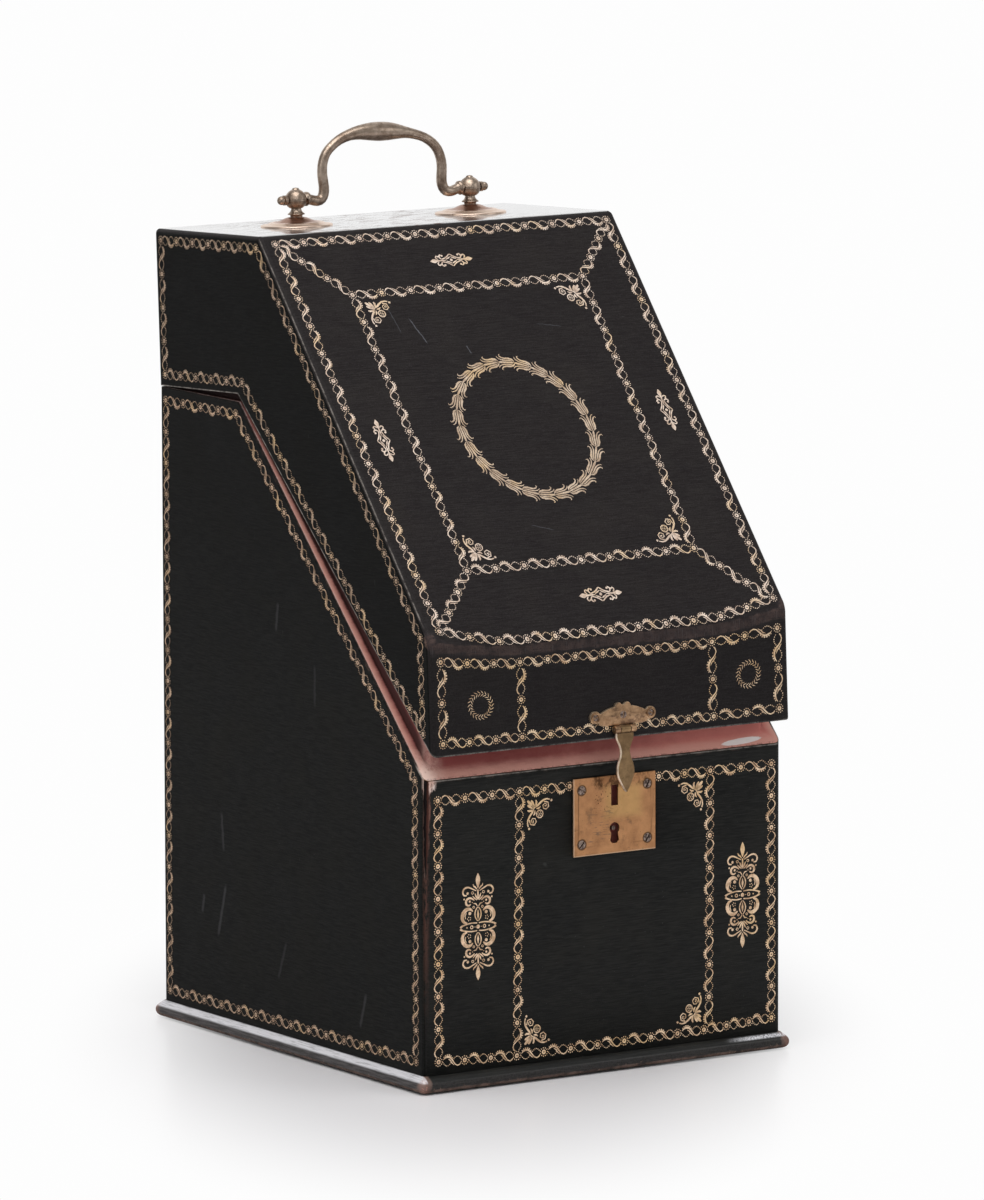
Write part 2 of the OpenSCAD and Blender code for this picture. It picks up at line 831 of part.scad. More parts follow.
module rosette(side) {
    color(brass_color)
        on_lid()
            translate([side * post_x, handle_y, lid_h])
                rotate_extrude()
                    polygon(concat([[post_shank_r + screw_clear, 0], [rosette_r, 0], [rosette_r, rosette_h * 0.2]],
                        [for (t = [0 : 0.1 : 1]) [rosette_r * (0.93 - 0.35 * t),
                            rosette_h * (0.27 + 0.23 * (1 - cos(180 * t)) / 2)]],
                        [for (t = [0 : 0.1 : 1]) [rosette_r * (0.54 - 0.26 * t),
                            rosette_h * (0.56 + 0.44 * sin(90 * t))]],
                        [[post_shank_r + screw_clear, rosette_h]]));
}

// Post: threaded shank, waisted stem, ball with the handle's bore, and a small button on top
module post(side) {
    foot_r = 2.9;
    collar_r = 3.9;
    waist_r = 2.35;
    button_r = 1.7;
    stem_h = post_h - rosette_h;
    tail = lining_in + post_nut_h + 1;
    color(bronze_color)
        on_lid()
            translate([side * post_x, handle_y, lid_h])
                difference() {
                    union() {
                        translate([0, 0, -tail])
                            cylinder(h = tail + rosette_h, r = post_shank_r);
                        translate([0, 0, rosette_h])
                            rotate_extrude()
                                polygon(concat([[0, 0], [foot_r, 0], [foot_r, stem_h * 0.1], [collar_r, stem_h * 0.14]],
                                    [for (t = [0 : 0.1 : 1]) [waist_r + (collar_r - waist_r) * pow(1 - t, 2),
                                        stem_h * (0.2 + 0.35 * t)]],
                                    [[waist_r, stem_h], [0, stem_h]]));
                        translate([0, 0, post_h])
                            sphere(r = post_ball_r);
                        translate([0, 0, post_h])
                            cylinder(h = post_ball_r + button_r / 2, r = button_r);
                    }
                    translate([-2 * post_ball_r, 0, post_h])
                        rotate([0, 90, 0])
                            cylinder(h = 4 * post_ball_r, r = bail_pin_r + turn_clear);
                }
}

module post_nuts() {
    color(brass_color)
        on_lid()
            at_posts()
                translate([0, 0, -lining_in - post_nut_h])
                    difference() {
                        cylinder(h = post_nut_h, r = post_nut_r, $fn = 4);
                        translate([0, 0, -cut_over])
                            cylinder(h = post_nut_h + 2 * cut_over, r = post_shank_r + screw_clear);
                    }
}

// Handle bar, with its pins: swan-neck legs that bend into a swollen grip
module bail() {
    collar_t = 1.2;
    collar_r = 3.1;
    pin_end = post_x + post_ball_r + move_gap + finial_r;
    grip_half = bail_leg_x - bail_shoulder_r;
    color(bronze_color)
        on_lid()
            translate([0, handle_y, handle_z])
                union() {
                    translate([-grip_half, 0, bail_h])
                        rotate([0, 90, 0])
                            rotate_extrude()
                                polygon(concat([[0, 0]],
                                    [for (t = [0 : 0.05 : 1]) [bail_bar_r + (bail_grip_r - bail_bar_r)
                                        * pow(sin(180 * t), 2), 2 * grip_half * t]],
                                    [[0, 2 * grip_half]]));
                    for (side = [0, 1])
                        mirror([side, 0, 0]) {
                            translate([grip_half, 0, bail_h - bail_shoulder_r])
                                rotate([90, 0, 0])
                                    rotate_extrude(angle = 90)
                                        translate([bail_shoulder_r, 0])
                                            circle(r = bail_bar_r);
                            translate([bail_leg_x, 0, bail_neck_r])
                                cylinder(h = bail_h - bail_shoulder_r - bail_neck_r, r = bail_bar_r);
                            translate([bail_leg_x + bail_neck_r, 0, bail_neck_r])
                                rotate([90, 180, 0])
                                    rotate_extrude(angle = 90)
                                        translate([bail_neck_r, 0])
                                            circle(r = bail_bar_r);
                            translate([bail_leg_x + bail_neck_r, 0, 0])
                                rotate([0, 90, 0])
                                    cylinder(h = pin_end - bail_leg_x - bail_neck_r, r = bail_pin_r);
                            translate([bail_leg_x + bail_neck_r, 0, 0])
                                rotate([0, 90, 0])
                                    cylinder(h = post_x - post_ball_r - collar_t - move_gap
                                        - bail_leg_x - bail_neck_r, r = bail_bar_r);
                            translate([post_x - post_ball_r - collar_t - move_gap, 0, 0])
                                rotate([0, 90, 0])
                                    cylinder(h = collar_t, r = collar_r);
                        }
                }
}

module bail_finials() {
    neck_t = 1.5;
    start = post_x + post_ball_r + move_gap;
    color(bronze_color)
        on_lid()
            translate([0, handle_y, handle_z])
                for (side = [0, 1])
                    mirror([side, 0, 0])
                        difference() {
                            union() {
                                translate([start, 0, 0])
                                    rotate([0, 90, 0])
                                        cylinder(h = neck_t, r = finial_r + 0.5);
                                translate([start + finial_r + neck_t / 2, 0, 0])
                                    sphere(r = finial_r + 0.2);
                            }
                            translate([start - cut_over, 0, 0])
                                rotate([0, 90, 0])
                                    cylinder(h = finial_r + cut_over, r = bail_pin_r + screw_clear / 2);
                        }
}

// Hasp

module hasp_plate() {
    barrel_side_l = hasp_barrel_l / 4;
    arc_r = (pow(hasp_plate_half_w, 2) + pow(hasp_plate_h, 2)) / (2 * hasp_plate_h);
    crest_r = 2.2;
    color(brass_color)
        on_lid()
            difference() {
                union() {
                    translate([latch_x, y_front, hasp_plate_z])
                        rotate([90, 0, 0])
                            linear_extrude(hasp_plate_t)
                                union() {
                                    intersection() {
                                        translate([0, hasp_plate_h - arc_r])
                                            circle(r = arc_r);
                                        translate([-hasp_plate_half_w, 0])
                                            square([2 * hasp_plate_half_w, 2 * hasp_plate_h]);
                                    }
                                    for (side = [-1, 1]) {
                                        translate([side * hasp_ear_x, hasp_ear_z])
                                            circle(r = hasp_ear_r);
                                        translate([side * crest_r, hasp_plate_h - crest_r / 4])
                                            circle(r = crest_r);
                                    }
                                }
                    for (end = [-hasp_barrel_l / 2, hasp_barrel_l / 2 - barrel_side_l]) {
                        translate([latch_x + end, hasp_y, hasp_z])
                            rotate([0, 90, 0])
                                cylinder(h = barrel_side_l, r = hasp_knuckle_r);
                        translate([latch_x + end, y_front - hasp_plate_t, hasp_z])
                            cube([barrel_side_l, hasp_plate_t, hasp_knuckle_r + cut_over]);
                    }
                }
                translate([latch_x - hasp_barrel_l, hasp_y, hasp_z])
                    rotate([0, 90, 0])
                        cylinder(h = 2 * hasp_barrel_l, r = hasp_pin_r + turn_clear);
                at_hasp_screws()
                    screw_hole(plate_screw_head_r, hasp_screw_l);
            }
}

module hasp_plate_screws() {
    color(steel_color)
        on_lid()
            at_hasp_screws()
                wood_screw(plate_screw_head_r, hasp_screw_l);
}

module hasp_pin() {
    color(steel_color)
        on_lid()
            translate([latch_x - hasp_barrel_l / 2, hasp_y, hasp_z])
                rotate([0, 90, 0])
                    cylinder(h = hasp_barrel_l, r = hasp_pin_r);
}

// Half the width of the hasp's leaf at a distance from its axis: shoulders, a waist, a belly and a tip
belly_s = hasp_leaf_l * 0.7;
waist_ratio = 0.58;
function leaf_half(s) = s < belly_s
    ? hasp_leaf_half_w * ((1 + waist_ratio) / 2 + (1 - waist_ratio) / 2 * cos(360 * (s - 2) / (belly_s - 2)))
    : hasp_leaf_half_w * (0.14 + 0.86 * cos(90 * (s - belly_s) / (hasp_leaf_l - belly_s)));

module hasp_leaf() {
    knuckle_l = hasp_barrel_l / 2 - 2 * move_gap;
    leaf_top = hasp_knuckle_r + move_gap;
    stations = [for (i = [0 : 20]) leaf_top + (hasp_leaf_l - leaf_top) * i / 20];
    root_y = hasp_leaf_back_y - hasp_leaf_t;
    color(brass_color)
        on_lid()
            difference() {
                union() {
                    translate([latch_x, hasp_leaf_back_y, hasp_z])
                        rotate([90, 0, 0])
                            linear_extrude(hasp_leaf_t)
                                polygon(concat([for (s = stations) [leaf_half(s), -s]],
                                    [for (i = [20 : -1 : 0]) [-leaf_half(stations[i]), -stations[i]]]));
                    translate([latch_x - knuckle_l / 2, hasp_y, hasp_z])
                        rotate([0, 90, 0])
                            cylinder(h = knuckle_l, r = hasp_knuckle_r);
                    translate([latch_x - knuckle_l / 2, root_y, hasp_z - leaf_top - cut_over / 2])
                        cube([knuckle_l, hasp_leaf_t, leaf_top + cut_over / 2]);
                    translate([latch_x - staple_t / 2, hasp_leaf_back_y - cut_over / 2, staple_z - staple_h / 2])
                        cube([staple_t, cut_over / 2 + y_front - lock_plate_t + staple_reach - hasp_leaf_back_y,
                            staple_h]);
                }
                translate([latch_x - hasp_barrel_l, hasp_y, hasp_z])
                    rotate([0, 90, 0])
                        cylinder(h = 2 * hasp_barrel_l, r = hasp_pin_r + turn_clear);
                translate([latch_x - 2 * staple_t, staple_eye_y, staple_z])
                    rotate([0, 90, 0])
                        cylinder(h = 4 * staple_t, r = staple_eye_r);
            }
}

base_baize();
base_board();
front_board();
back_board();
side_board(-1);  // left_board
side_board(1);  // right_board
front_leather();
back_leather();
side_leather(-1);  // left_leather
side_leather(1);  // right_leather
rim_front();
rim_back();
rim_side(-1);  // rim_left
rim_side(1);  // rim_right
floor_lining();
for (i = [1 : rack_columns - 1])
    rack_long(i);
for (i = [1 : rack_rows - 1])
    rack_cross(i);
lock_plate();
lock_plate_screws();
lock_case();
key_pin();
lock_spring();
lock_bolt();
hinge_leaf(-hinge_x, -1, 0);  // case_hinge_leaf_left
hinge_leaf(hinge_x, -1, 0);  // case_hinge_leaf_right
hinge_pins();
case_hinge_screws();
lid_top_board();
lid_slope_board();
lid_apron_board();
lid_back_board();
lid_side_board(-1);  // lid_left_board
lid_side_board(1);  // lid_right_board
lid_front_leather();
lid_back_leather();
lid_side_leather(-1);  // lid_left_leather
lid_side_leather(1);  // lid_right_leather
lid_lining();
lid_side_linings();
on_lid() hinge_leaf(-hinge_x, 1, 1);  // lid_hinge_leaf_left
on_lid() hinge_leaf(hinge_x, 1, 1);  // lid_hinge_leaf_right
lid_hinge_screws();
rosette(-1);  // rosette_left
rosette(1);  // rosette_right
post(-1);  // post_left
post(1);  // post_right
post_nuts();
hasp_plate();
hasp_plate_screws();
hasp_pin();
hasp_leaf();
bail();
bail_finials();
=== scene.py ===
import json
import math

import bmesh
import bpy
from mathutils import Matrix, Vector


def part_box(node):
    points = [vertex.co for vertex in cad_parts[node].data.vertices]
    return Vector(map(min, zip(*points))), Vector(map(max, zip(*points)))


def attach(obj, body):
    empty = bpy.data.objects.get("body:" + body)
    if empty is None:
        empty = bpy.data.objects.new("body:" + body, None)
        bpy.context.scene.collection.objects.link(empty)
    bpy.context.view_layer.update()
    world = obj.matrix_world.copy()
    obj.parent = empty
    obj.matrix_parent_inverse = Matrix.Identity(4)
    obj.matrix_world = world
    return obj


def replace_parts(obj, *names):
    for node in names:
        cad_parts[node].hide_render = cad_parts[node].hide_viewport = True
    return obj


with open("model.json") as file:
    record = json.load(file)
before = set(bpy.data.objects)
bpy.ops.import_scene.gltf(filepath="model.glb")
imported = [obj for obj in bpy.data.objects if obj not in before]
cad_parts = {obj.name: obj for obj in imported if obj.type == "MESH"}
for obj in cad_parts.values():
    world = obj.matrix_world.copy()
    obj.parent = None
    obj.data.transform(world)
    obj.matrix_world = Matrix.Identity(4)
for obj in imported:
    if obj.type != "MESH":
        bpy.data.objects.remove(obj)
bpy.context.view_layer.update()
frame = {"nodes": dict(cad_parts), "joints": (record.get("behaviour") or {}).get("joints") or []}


# Cloth under the base: a sheet of green baize glued to the underside of the base board, so that the
# case doesn't scratch a table. Only its edge shows, from low down.
lid_joint = next(joint for joint in frame["joints"] if joint["name"] == "lid_hinge")
lid_pivot = Vector(lid_joint["pos_m"]) * 1000
lid_ajar = math.radians(lid_joint["range_deg"][0])
to_pivot = Matrix.Translation(lid_pivot)
set_ajar = to_pivot @ Matrix.Rotation(lid_ajar, 4, "X") @ to_pivot.inverted()


class Socket:
    """The output of a shader node, which takes part in Python's arithmetic."""

    def __init__(self, finish, out):
        self.finish = finish
        self.out = out

    def math(self, operation, other=None, swapped=False):
        first, second = (other, self) if swapped else (self, other)
        return self.finish.add("ShaderNodeMath", {"operation": operation}, {0: first, 1: second})

    def __add__(self, other):
        return self.math("ADD", other)

    def __radd__(self, other):
        return self.math("ADD", other, True)

    def __sub__(self, other):
        return self.math("SUBTRACT", other)

    def __rsub__(self, other):
        return self.math("SUBTRACT", other, True)

    def __mul__(self, other):
        return self.math("MULTIPLY", other)

    def __rmul__(self, other):
        return self.math("MULTIPLY", other, True)

    def __truediv__(self, other):
        return self.math("DIVIDE", other)

    def __abs__(self):
        return self.math("ABSOLUTE")

    def least(self, other):
        return self.math("MINIMUM", other)

    def most(self, other):
        return self.math("MAXIMUM", other)

    def fade(self, start, end):
        """0 up to start, 1 from end on, and a soft step between them."""
        return self.finish.add("ShaderNodeMapRange", {"interpolation_type": "SMOOTHSTEP"},
                               {0: self, 1: start, 2: end})

    def near(self, full, none, middle=0.0):
        """1 up to the distance full from a middle value, and 0 from the distance none on."""
        away = abs(self - middle) if middle else abs(self)
        return 1 - away.fade(full, none)


class Finish:
    """The material of one finish, on places in millimetres. A lid's finish takes them on the closed lid."""

    def __init__(self, name, on_lid=False, constants=None):
        self.material = bpy.data.materials.new(name)
        self.material.use_nodes = True
        self.tree = self.material.node_tree
        self.surface = self.tree.nodes["Principled BSDF"]
        for socket, value in (constants or {}).items():
            self.surface.inputs[socket].default_value = value
        to_closed = set_ajar.inverted() if on_lid else Matrix()
        point = self.add("ShaderNodeTexCoord", {}, {}, "Object")
        self.place = self.add("ShaderNodeMapping", {}, {
            "Vector": point, "Location": to_closed.translation, "Rotation": to_closed.to_euler(),
            "Scale": (1000, 1000, 1000)})
        self.x, self.y, self.z = (self.add("ShaderNodeSeparateXYZ", {}, {0: self.place}, i) for i in range(3))

    def add(self, kind, settings, values, output=0):
        """Adds a node: its settings, then the values or links of its sockets. Returns one of its outputs."""
        node = self.tree.nodes.new(kind)
        for name, value in settings.items():
            setattr(node, name, value)
        for name, value in values.items():
            if isinstance(value, Socket):
                self.tree.links.new(value.out, node.inputs[name])
            elif value is not None:
                node.inputs[name].default_value = value
        return Socket(self, node.outputs[output])

    def noise(self, size, stretch=(1, 1, 1), detail=3.0, roughness=0.5, shift=0.0, output=0):
        """Noise with blobs of about a size in millimetres, each axis stretched by its factor."""
        scale = [1 / (size * part) for part in stretch]
        spot = self.add("ShaderNodeMapping", {}, {
            "Vector": self.place, "Scale": scale, "Location": (shift,) * 3})
        return self.add("ShaderNodeTexNoise", {}, {
            "Vector": spot, "Scale": 1.0, "Detail": detail, "Roughness": roughness}, output)

    def mix(self, share, first, second):
        """A colour between two colours, or two linked ones."""
        first, second = (c if isinstance(c, Socket) else (*c, 1) for c in (first, second))
        return self.add("ShaderNodeMix", {"data_type": "RGBA"}, {0: share, 6: first, 7: second}, 2)

    def coats(self, colour, *coats):
        """Lays coats over a colour, each with its share and its own colour."""
        for share, coat in coats:
            colour = self.mix(share, colour, coat)
        return colour

    def wear(self, colour=None, roughness=None, metallic=None, height=None, depth=0.1, strength=1.0):
        """Links what changes over the surface. The height's relief is depth millimetres deep."""
        for socket, value in (("Base Color", colour), ("Roughness", roughness), ("Metallic", metallic)):
            if value is not None:
                self.tree.links.new(value.out, self.surface.inputs[socket])
        if height is not None:
            bump = self.add("ShaderNodeBump", {}, {
                "Height": height, "Distance": depth / 1000, "Strength": strength})
            self.tree.links.new(bump.out, self.surface.inputs["Normal"])
        return self


def distance(first, *others):
    """The length of a way, from its lengths along the axes."""
    return sum((part * part for part in others), first * first).math("SQRT")


def dress(finish, *nodes):
    """Gives carried-over nodes of the frame a finish."""
    for node in nodes:
        held = frame["nodes"][node]
        if not held.material_slots:
            held.data.materials.append(None)
        for held_slot in held.material_slots:
            held_slot.material = finish.material


baize = Finish("green_baize", constants={"Roughness": 0.95, "Sheen Weight": 0.4})
nap = baize.noise(0.5, detail=4)
baize.wear(colour=baize.mix(nap.fade(0.3, 0.7), (0.012, 0.035, 0.018), (0.035, 0.075, 0.04)),
           height=nap, depth=0.2)
dress(baize, "base_baize")


# Wooden carcass: boards of a pale softwood under the leather, glued and nailed. The rack's thin boards
# show when the lid is open.
def wood_finish(name, pale, dark, along, on_lid=False):
    """Straight-grained wood, its grain running along an axis."""
    wood = Finish(name, on_lid, {"Specular IOR Level": 0.3})
    stretch = [14 if axis == along else 1 for axis in range(3)]
    rings = wood.noise(3.2, stretch, detail=5, roughness=0.6)
    pores = wood.noise(0.5, stretch, detail=2, shift=7)
    tone = wood.mix(rings.fade(0.35, 0.65), pale, dark)
    wood.wear(colour=wood.mix(pores.fade(0.58, 0.75) * 0.5, tone, [c * 0.45 for c in dark]),
              roughness=0.62 + pores * 0.2, height=rings * 0.5 + pores, depth=0.12)
    return wood


pine = ((0.42, 0.25, 0.13), (0.27, 0.14, 0.065))
carcass = wood_finish("carcass_wood", *pine, 2)
lid_carcass = wood_finish("lid_carcass_wood", *pine, 0, on_lid=True)
rack_wood = wood_finish("rack_wood", (0.36, 0.19, 0.09), (0.22, 0.1, 0.045), 2)
dress(carcass, "front_board", "back_board", "left_board", "right_board")
dress(lid_carcass, "lid_top_board", "lid_slope_board", "lid_apron_board", "lid_back_board",
      "lid_left_board", "lid_right_board")
dress(rack_wood, *[f"rack_long_{i}" for i in range(1, 6)], *[f"rack_cross_{i}" for i in range(1, 4)])


# Base board: a board a little larger than the case, its edge rounded and covered in the same dark
# leather. The leather is rubbed brown along the edge and through at the corners.
def settle(name, shape, finish, body, slot, crease=35):
    """Makes a shape in millimetres a piece that rides on a body. What the lid carries is drawn closed."""
    if body != "case":
        bmesh.ops.transform(shape, matrix=set_ajar, verts=shape.verts)
    bmesh.ops.scale(shape, vec=(0.001, 0.001, 0.001), verts=shape.verts)
    mesh = bpy.data.meshes.new(name)
    shape.to_mesh(mesh)
    shape.free()
    mesh.polygons.foreach_set("use_smooth", [True] * len(mesh.polygons))
    mesh.set_sharp_from_angle(angle=math.radians(crease))
    mesh.materials.append(finish.material)
    piece = bpy.data.objects.new(name, mesh)
    bpy.context.scene.collection.objects.link(piece)
    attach(piece, body)
    return piece


def block(low, high):
    """A box between two corners."""
    shape = bmesh.new()
    bmesh.ops.create_cube(shape, size=1)
    low, high = Vector(low), Vector(high)
    bmesh.ops.scale(shape, vec=high - low, verts=shape.verts)
    bmesh.ops.translate(shape, vec=(low + high) / 2, verts=shape.verts)
    return shape


def all_of(shape):
    return shape.verts[:] + shape.edges[:] + shape.faces[:]


def parts_of(faces):
    """Faces with their edges and corners."""
    return list({part for face in faces for part in (face, *face.edges, *face.verts)})


def points_in(geom):
    return [part for part in geom if isinstance(part, bmesh.types.BMVert)]


def edges_among(points):
    """The edges that run between some of the points."""
    return list({edge for point in points for edge in point.link_edges
                 if all(end in points for end in edge.verts)})


def cut(shape, geom, place, normal, **clear):
    """Cuts geometry along a plane, and clears a side of it where that is wanted."""
    bmesh.ops.bisect_plane(shape, geom=geom, plane_co=place, plane_no=normal, **clear)


def round_off(shape, edges, radius, segments=5):
    bmesh.ops.bevel(shape, geom=edges, affect="EDGES", offset=radius, segments=segments, profile=0.5,
                    material=-1)


def push(shape, faces, way):
    """Extrudes faces along a way. Returns the points that moved."""
    moved = points_in(bmesh.ops.extrude_face_region(shape, geom=faces)["geom"])
    bmesh.ops.translate(shape, vec=way, verts=moved)
    return moved


def in_mm(node):
    """The corners of a node's box in millimetres."""
    return [corner * 1000 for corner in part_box(node)]


def leather_finish(name, along, worn, raw_edge_and_glint=None, on_lid=False, tone=1.0, specular=0.12, shine=None, marks=None,
                   gloss=0.42, relief=0.6):
    """Dark straight-grained leather. Masks say where it is worn brown, where its cut edge is pale (on the lid
    also a painted highlight along the slope's side edges), and where it shines; marks are added to its colour
    last."""
    skin = Finish(name, on_lid, {"Specular IOR Level": specular, "Coat Roughness": 0.2, "Coat IOR": 1.8})
    stretch = [7 if axis == along else 1 for axis in range(3)]
    grain = skin.noise(0.75, stretch, detail=3, roughness=0.6)
    pebble = skin.noise(0.45, detail=2, shift=3)
    cloud = skin.noise(26, detail=3, shift=11)
    rub = skin.noise(5, detail=5, roughness=0.7, shift=5)
    scuff = skin.noise(1.1, (9, 1, 9), detail=2, shift=17).fade(0.73, 0.8) * cloud.fade(0.42, 0.6)
    line = skin.noise(0.5, [24 if axis == along else 1 for axis in range(3)], detail=1, shift=23)
    speck = skin.noise(0.7, detail=1, shift=29).fade(0.76, 0.8)
    deep, plain, light = ([part * tone for part in shade] for shade in (
        (0.0085, 0.0092, 0.0088), (0.0165, 0.0168, 0.0155), (0.021, 0.0205, 0.0175)))
    base = skin.mix(cloud.fade(0.4, 0.75) * 0.5, skin.mix(grain.fade(0.3, 0.7), deep, plain), light)
    base = skin.mix(line.fade(0.35, 0.6), skin.mix(0.35, base, (0.001, 0.001, 0.001)), base)
    base = skin.mix((scuff * 0.35).most(speck * 0.5), base, (0.08, 0.085, 0.08))
    mask = (worn(skin) * (0.35 + rub * 1.3)).fade(0.38, 0.72)
    colour = skin.mix(mask, base, skin.mix(rub.fade(0.3, 0.65), (0.045, 0.03, 0.025), (0.15, 0.1, 0.082)))
    if raw_edge_and_glint:
        colour = skin.mix(raw_edge_and_glint(skin) * rub.fade(0.3, 0.62), colour,
                          skin.mix(pebble, (0.16, 0.14, 0.12), (0.5, 0.46, 0.42)))
    if marks:
        colour = marks(skin, colour)
    if shine:
        coat = shine(skin, cloud)
        skin.tree.links.new(coat.out, skin.surface.inputs["Coat Weight"])
    skin.wear(colour=colour, roughness=gloss + cloud * 0.22 + mask * 0.2,
              height=grain * 0.6 + line + pebble * 0.4 - mask * rub * 0.8, depth=0.22, strength=relief)
    return skin


def upright(shape):
    return [e for e in shape.edges if abs((e.verts[0].co - e.verts[1].co).normalized().z) > 0.99]


def outline_of(low, high, radius):
    """A rounded rectangle, as a ring of edges at the lower corner's height."""
    shape = block(low, high)
    round_off(shape, upright(shape), radius)
    bmesh.ops.delete(shape, geom=[v for v in shape.verts if v.co.z > (low[2] + high[2]) / 2], context="VERTS")
    bmesh.ops.delete(shape, geom=shape.faces[:], context="FACES_ONLY")
    return shape


def next_ring(shape, ring, place):
    """Extrudes a ring of points to the places that a function gives for them."""
    ring = set(points_in(bmesh.ops.extrude_edge_only(shape, edges=edges_among(ring))["geom"]))
    for vert in ring:
        vert.co = place(vert.co)
    return ring


def fill(shape, ring):
    bmesh.ops.contextual_create(shape, geom=edges_among(ring))


def pulled(half, start, end, height):
    """Moves points of a rounded outline to another of its kind. Each has an inset and a corner radius."""
    def place(point):
        cores = [[side - inset - radius for side in (half.x, half.y)] for inset, radius in (start, end)]
        moved = []
        for value, old_core, new_core in zip((point.x, point.y - half.z), *cores):
            held = max(-old_core, min(old_core, value))
            core = math.copysign(new_core, value) if abs(value) >= old_core - 0.01 else value
            moved.append(core + (value - held) / start[1] * end[1])
        return Vector((moved[0], moved[1] + half.z, height(moved[1] + half.z)))
    return place


base_low, base_high = in_mm("base_board")
base_half = Vector((base_high.x, (base_high.y - base_low.y) / 2, (base_high.y + base_low.y) / 2))
base_round = 2.2
moulding = [(3.45, 0.0), (2.9, 0.25), (1.0, 2.1), (0.45, 2.8), (0.1, 3.7), (0.0, 4.7), (0.1, 5.7),
            (0.5, 6.6), (1.0, 7.2), (1.7, 7.6)]
base_board = outline_of(base_low, base_high, base_round)
ring_now, inset_now = set(base_board.verts), 0
for inset, drop in moulding:
    level = pulled(base_half, (inset_now, base_round), (inset, base_round), lambda y, z=base_high.z - drop: z)
    inset_now = inset
    if drop:
        ring_now = next_ring(base_board, ring_now, level)
    else:
        for vert in ring_now:
            vert.co = level(vert.co)
        fill(base_board, ring_now)
fill(base_board, ring_now)
bmesh.ops.recalc_face_normals(base_board, faces=base_board.faces)


def at_corner(skin, inset, reach):
    """0 at an inset from both edges of a corner, 1 a reach further out."""
    deep = abs(skin.y - base_half.z) - (base_half.y - inset)
    return (abs(skin.x) - (base_half.x - inset)).least(deep) / reach


def worn_base(skin):
    """Along the lower edge and at the corners."""
    return (skin.z.near(0.3, 2.0, base_low.z + 1) * 0.66).most(at_corner(skin, 9, 7).fade(0.1, 0.9))


def base_wear_and_painted_sheen(skin, colour):
    """Pale grey streaks on its sloping top along the left side, a paler patch at the right end of the front
    and a grey
    band on its nose, strongest on the left: painted reflection and painted highlight of the polished leather.
    It is scuffed to the pale core in spots.
    """
    left = 0 - skin.x - (base_half.x - 4)
    streak = skin.noise(0.8, (1, 16, 1), detail=4, roughness=0.7, shift=37)
    chip = skin.noise(1.6, detail=4, roughness=0.75, shift=43).fade(0.6, 0.68)
    # Painted reflection on the sloping top at the left side, painted highlight at the right end, painted
    # reflection on the nose.
    slope = skin.z.fade(base_high.z - 3.2, base_high.z - 2.2) * left.fade(0.2, 1.2)
    painted_tip_highlight = skin.x.fade(66, 84) * skin.z.near(0.3, 1.1, base_high.z - 1.2) * streak.fade(0.3, 0.6)
    painted_nose_reflection = skin.z.near(1.0, 2.2, base_high.z - 4.4) * (0.35 + streak.fade(0.35, 0.65) * 0.65)
    low = skin.z.near(0.2, 2.4, base_low.z + 1)
    corner = at_corner(skin, 6, 5).fade(0.2, 0.8)
    return skin.coats(
        colour, (slope * streak.fade(0.12, 0.56), (0.68, 0.67, 0.7)), (painted_tip_highlight, (0.8, 0.8, 0.84)),
        (painted_nose_reflection * (0.25 + left.fade(1, 3) * 0.5), (0.13, 0.12, 0.12)), (low * chip * 0.8, (0.3, 0.2, 0.15)),
        (corner * chip.fade(-0.4, 0.8), (0.46, 0.235, 0.18)))


def base_shine(skin, cloud):
    """Its sloping top shines, most along the left side."""
    return skin.z.fade(base_high.z - 3.4, base_high.z - 2.6) * (
        0.35 + (1 - skin.x.fade(-base_half.x + 1, -base_half.x + 4)) * 0.65)


base_skin = leather_finish("base_leather", 0, worn_base, shine=base_shine, marks=base_wear_and_painted_sheen)
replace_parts(settle("base_board_covered", base_board, base_skin, "case", "dark_leather"), "base_board")


# Leather of the case: four panels of dark green, nearly black morocco glued over the boards and
# turned in over their top edges. The seam at the front left corner has opened near the top.
front_low, front_high = in_mm("front_leather")
back_high = in_mm("back_leather")[1]
plate_low, plate_high = in_mm("lock_plate")
half_w, y_front, y_back = front_high.x, front_low.y, back_high.y
floor_z, split_front, split_back = front_low.z, front_high.z, back_high.z
split_level_d = 71.3
split_y = y_back - split_level_d
split_tilt = math.atan2(split_back - split_front, split_y - y_front)
split_normal = Vector((0, -math.sin(split_tilt), math.cos(split_tilt)))
leather_t = 1.0
ledge = 5.3
corner_round = 3.0
under_plate = Vector((1, 1, 1))


def split_corner(up):
    return Vector((0, split_y - up * math.tan(split_tilt / 2), split_back + up))


def split_z(y, up):
    """Height of the split at a depth, moved up square to it."""
    corner = split_corner(up)
    return min(corner.z, corner.z + (y - corner.y) * math.tan(split_tilt))


def below_split(shape, up):
    """Cuts off what stands above the split."""
    for normal in (Vector((0, 0, 1)), split_normal):
        cut(shape, all_of(shape), split_corner(up), normal, clear_outer=True)


def turn_in(shape, up, depth):
    """Folds the open edge along the split inwards over the boards, by a depth."""
    rim = [e for e in shape.edges if e.is_boundary
           and all(abs(v.co.z - split_z(v.co.y, up)) < 0.05 for v in e.verts)]
    for vert in points_in(bmesh.ops.extrude_edge_only(shape, edges=rim)["geom"]):
        vert.co.x = max(-half_w + depth, min(half_w - depth, vert.co.x))
        vert.co.y = max(y_front + depth, min(y_back - depth, vert.co.y))
        vert.co.z = split_z(vert.co.y, up)
    bmesh.ops.remove_doubles(shape, verts=shape.verts, dist=0.01)
    bmesh.ops.recalc_face_normals(shape, faces=shape.faces)


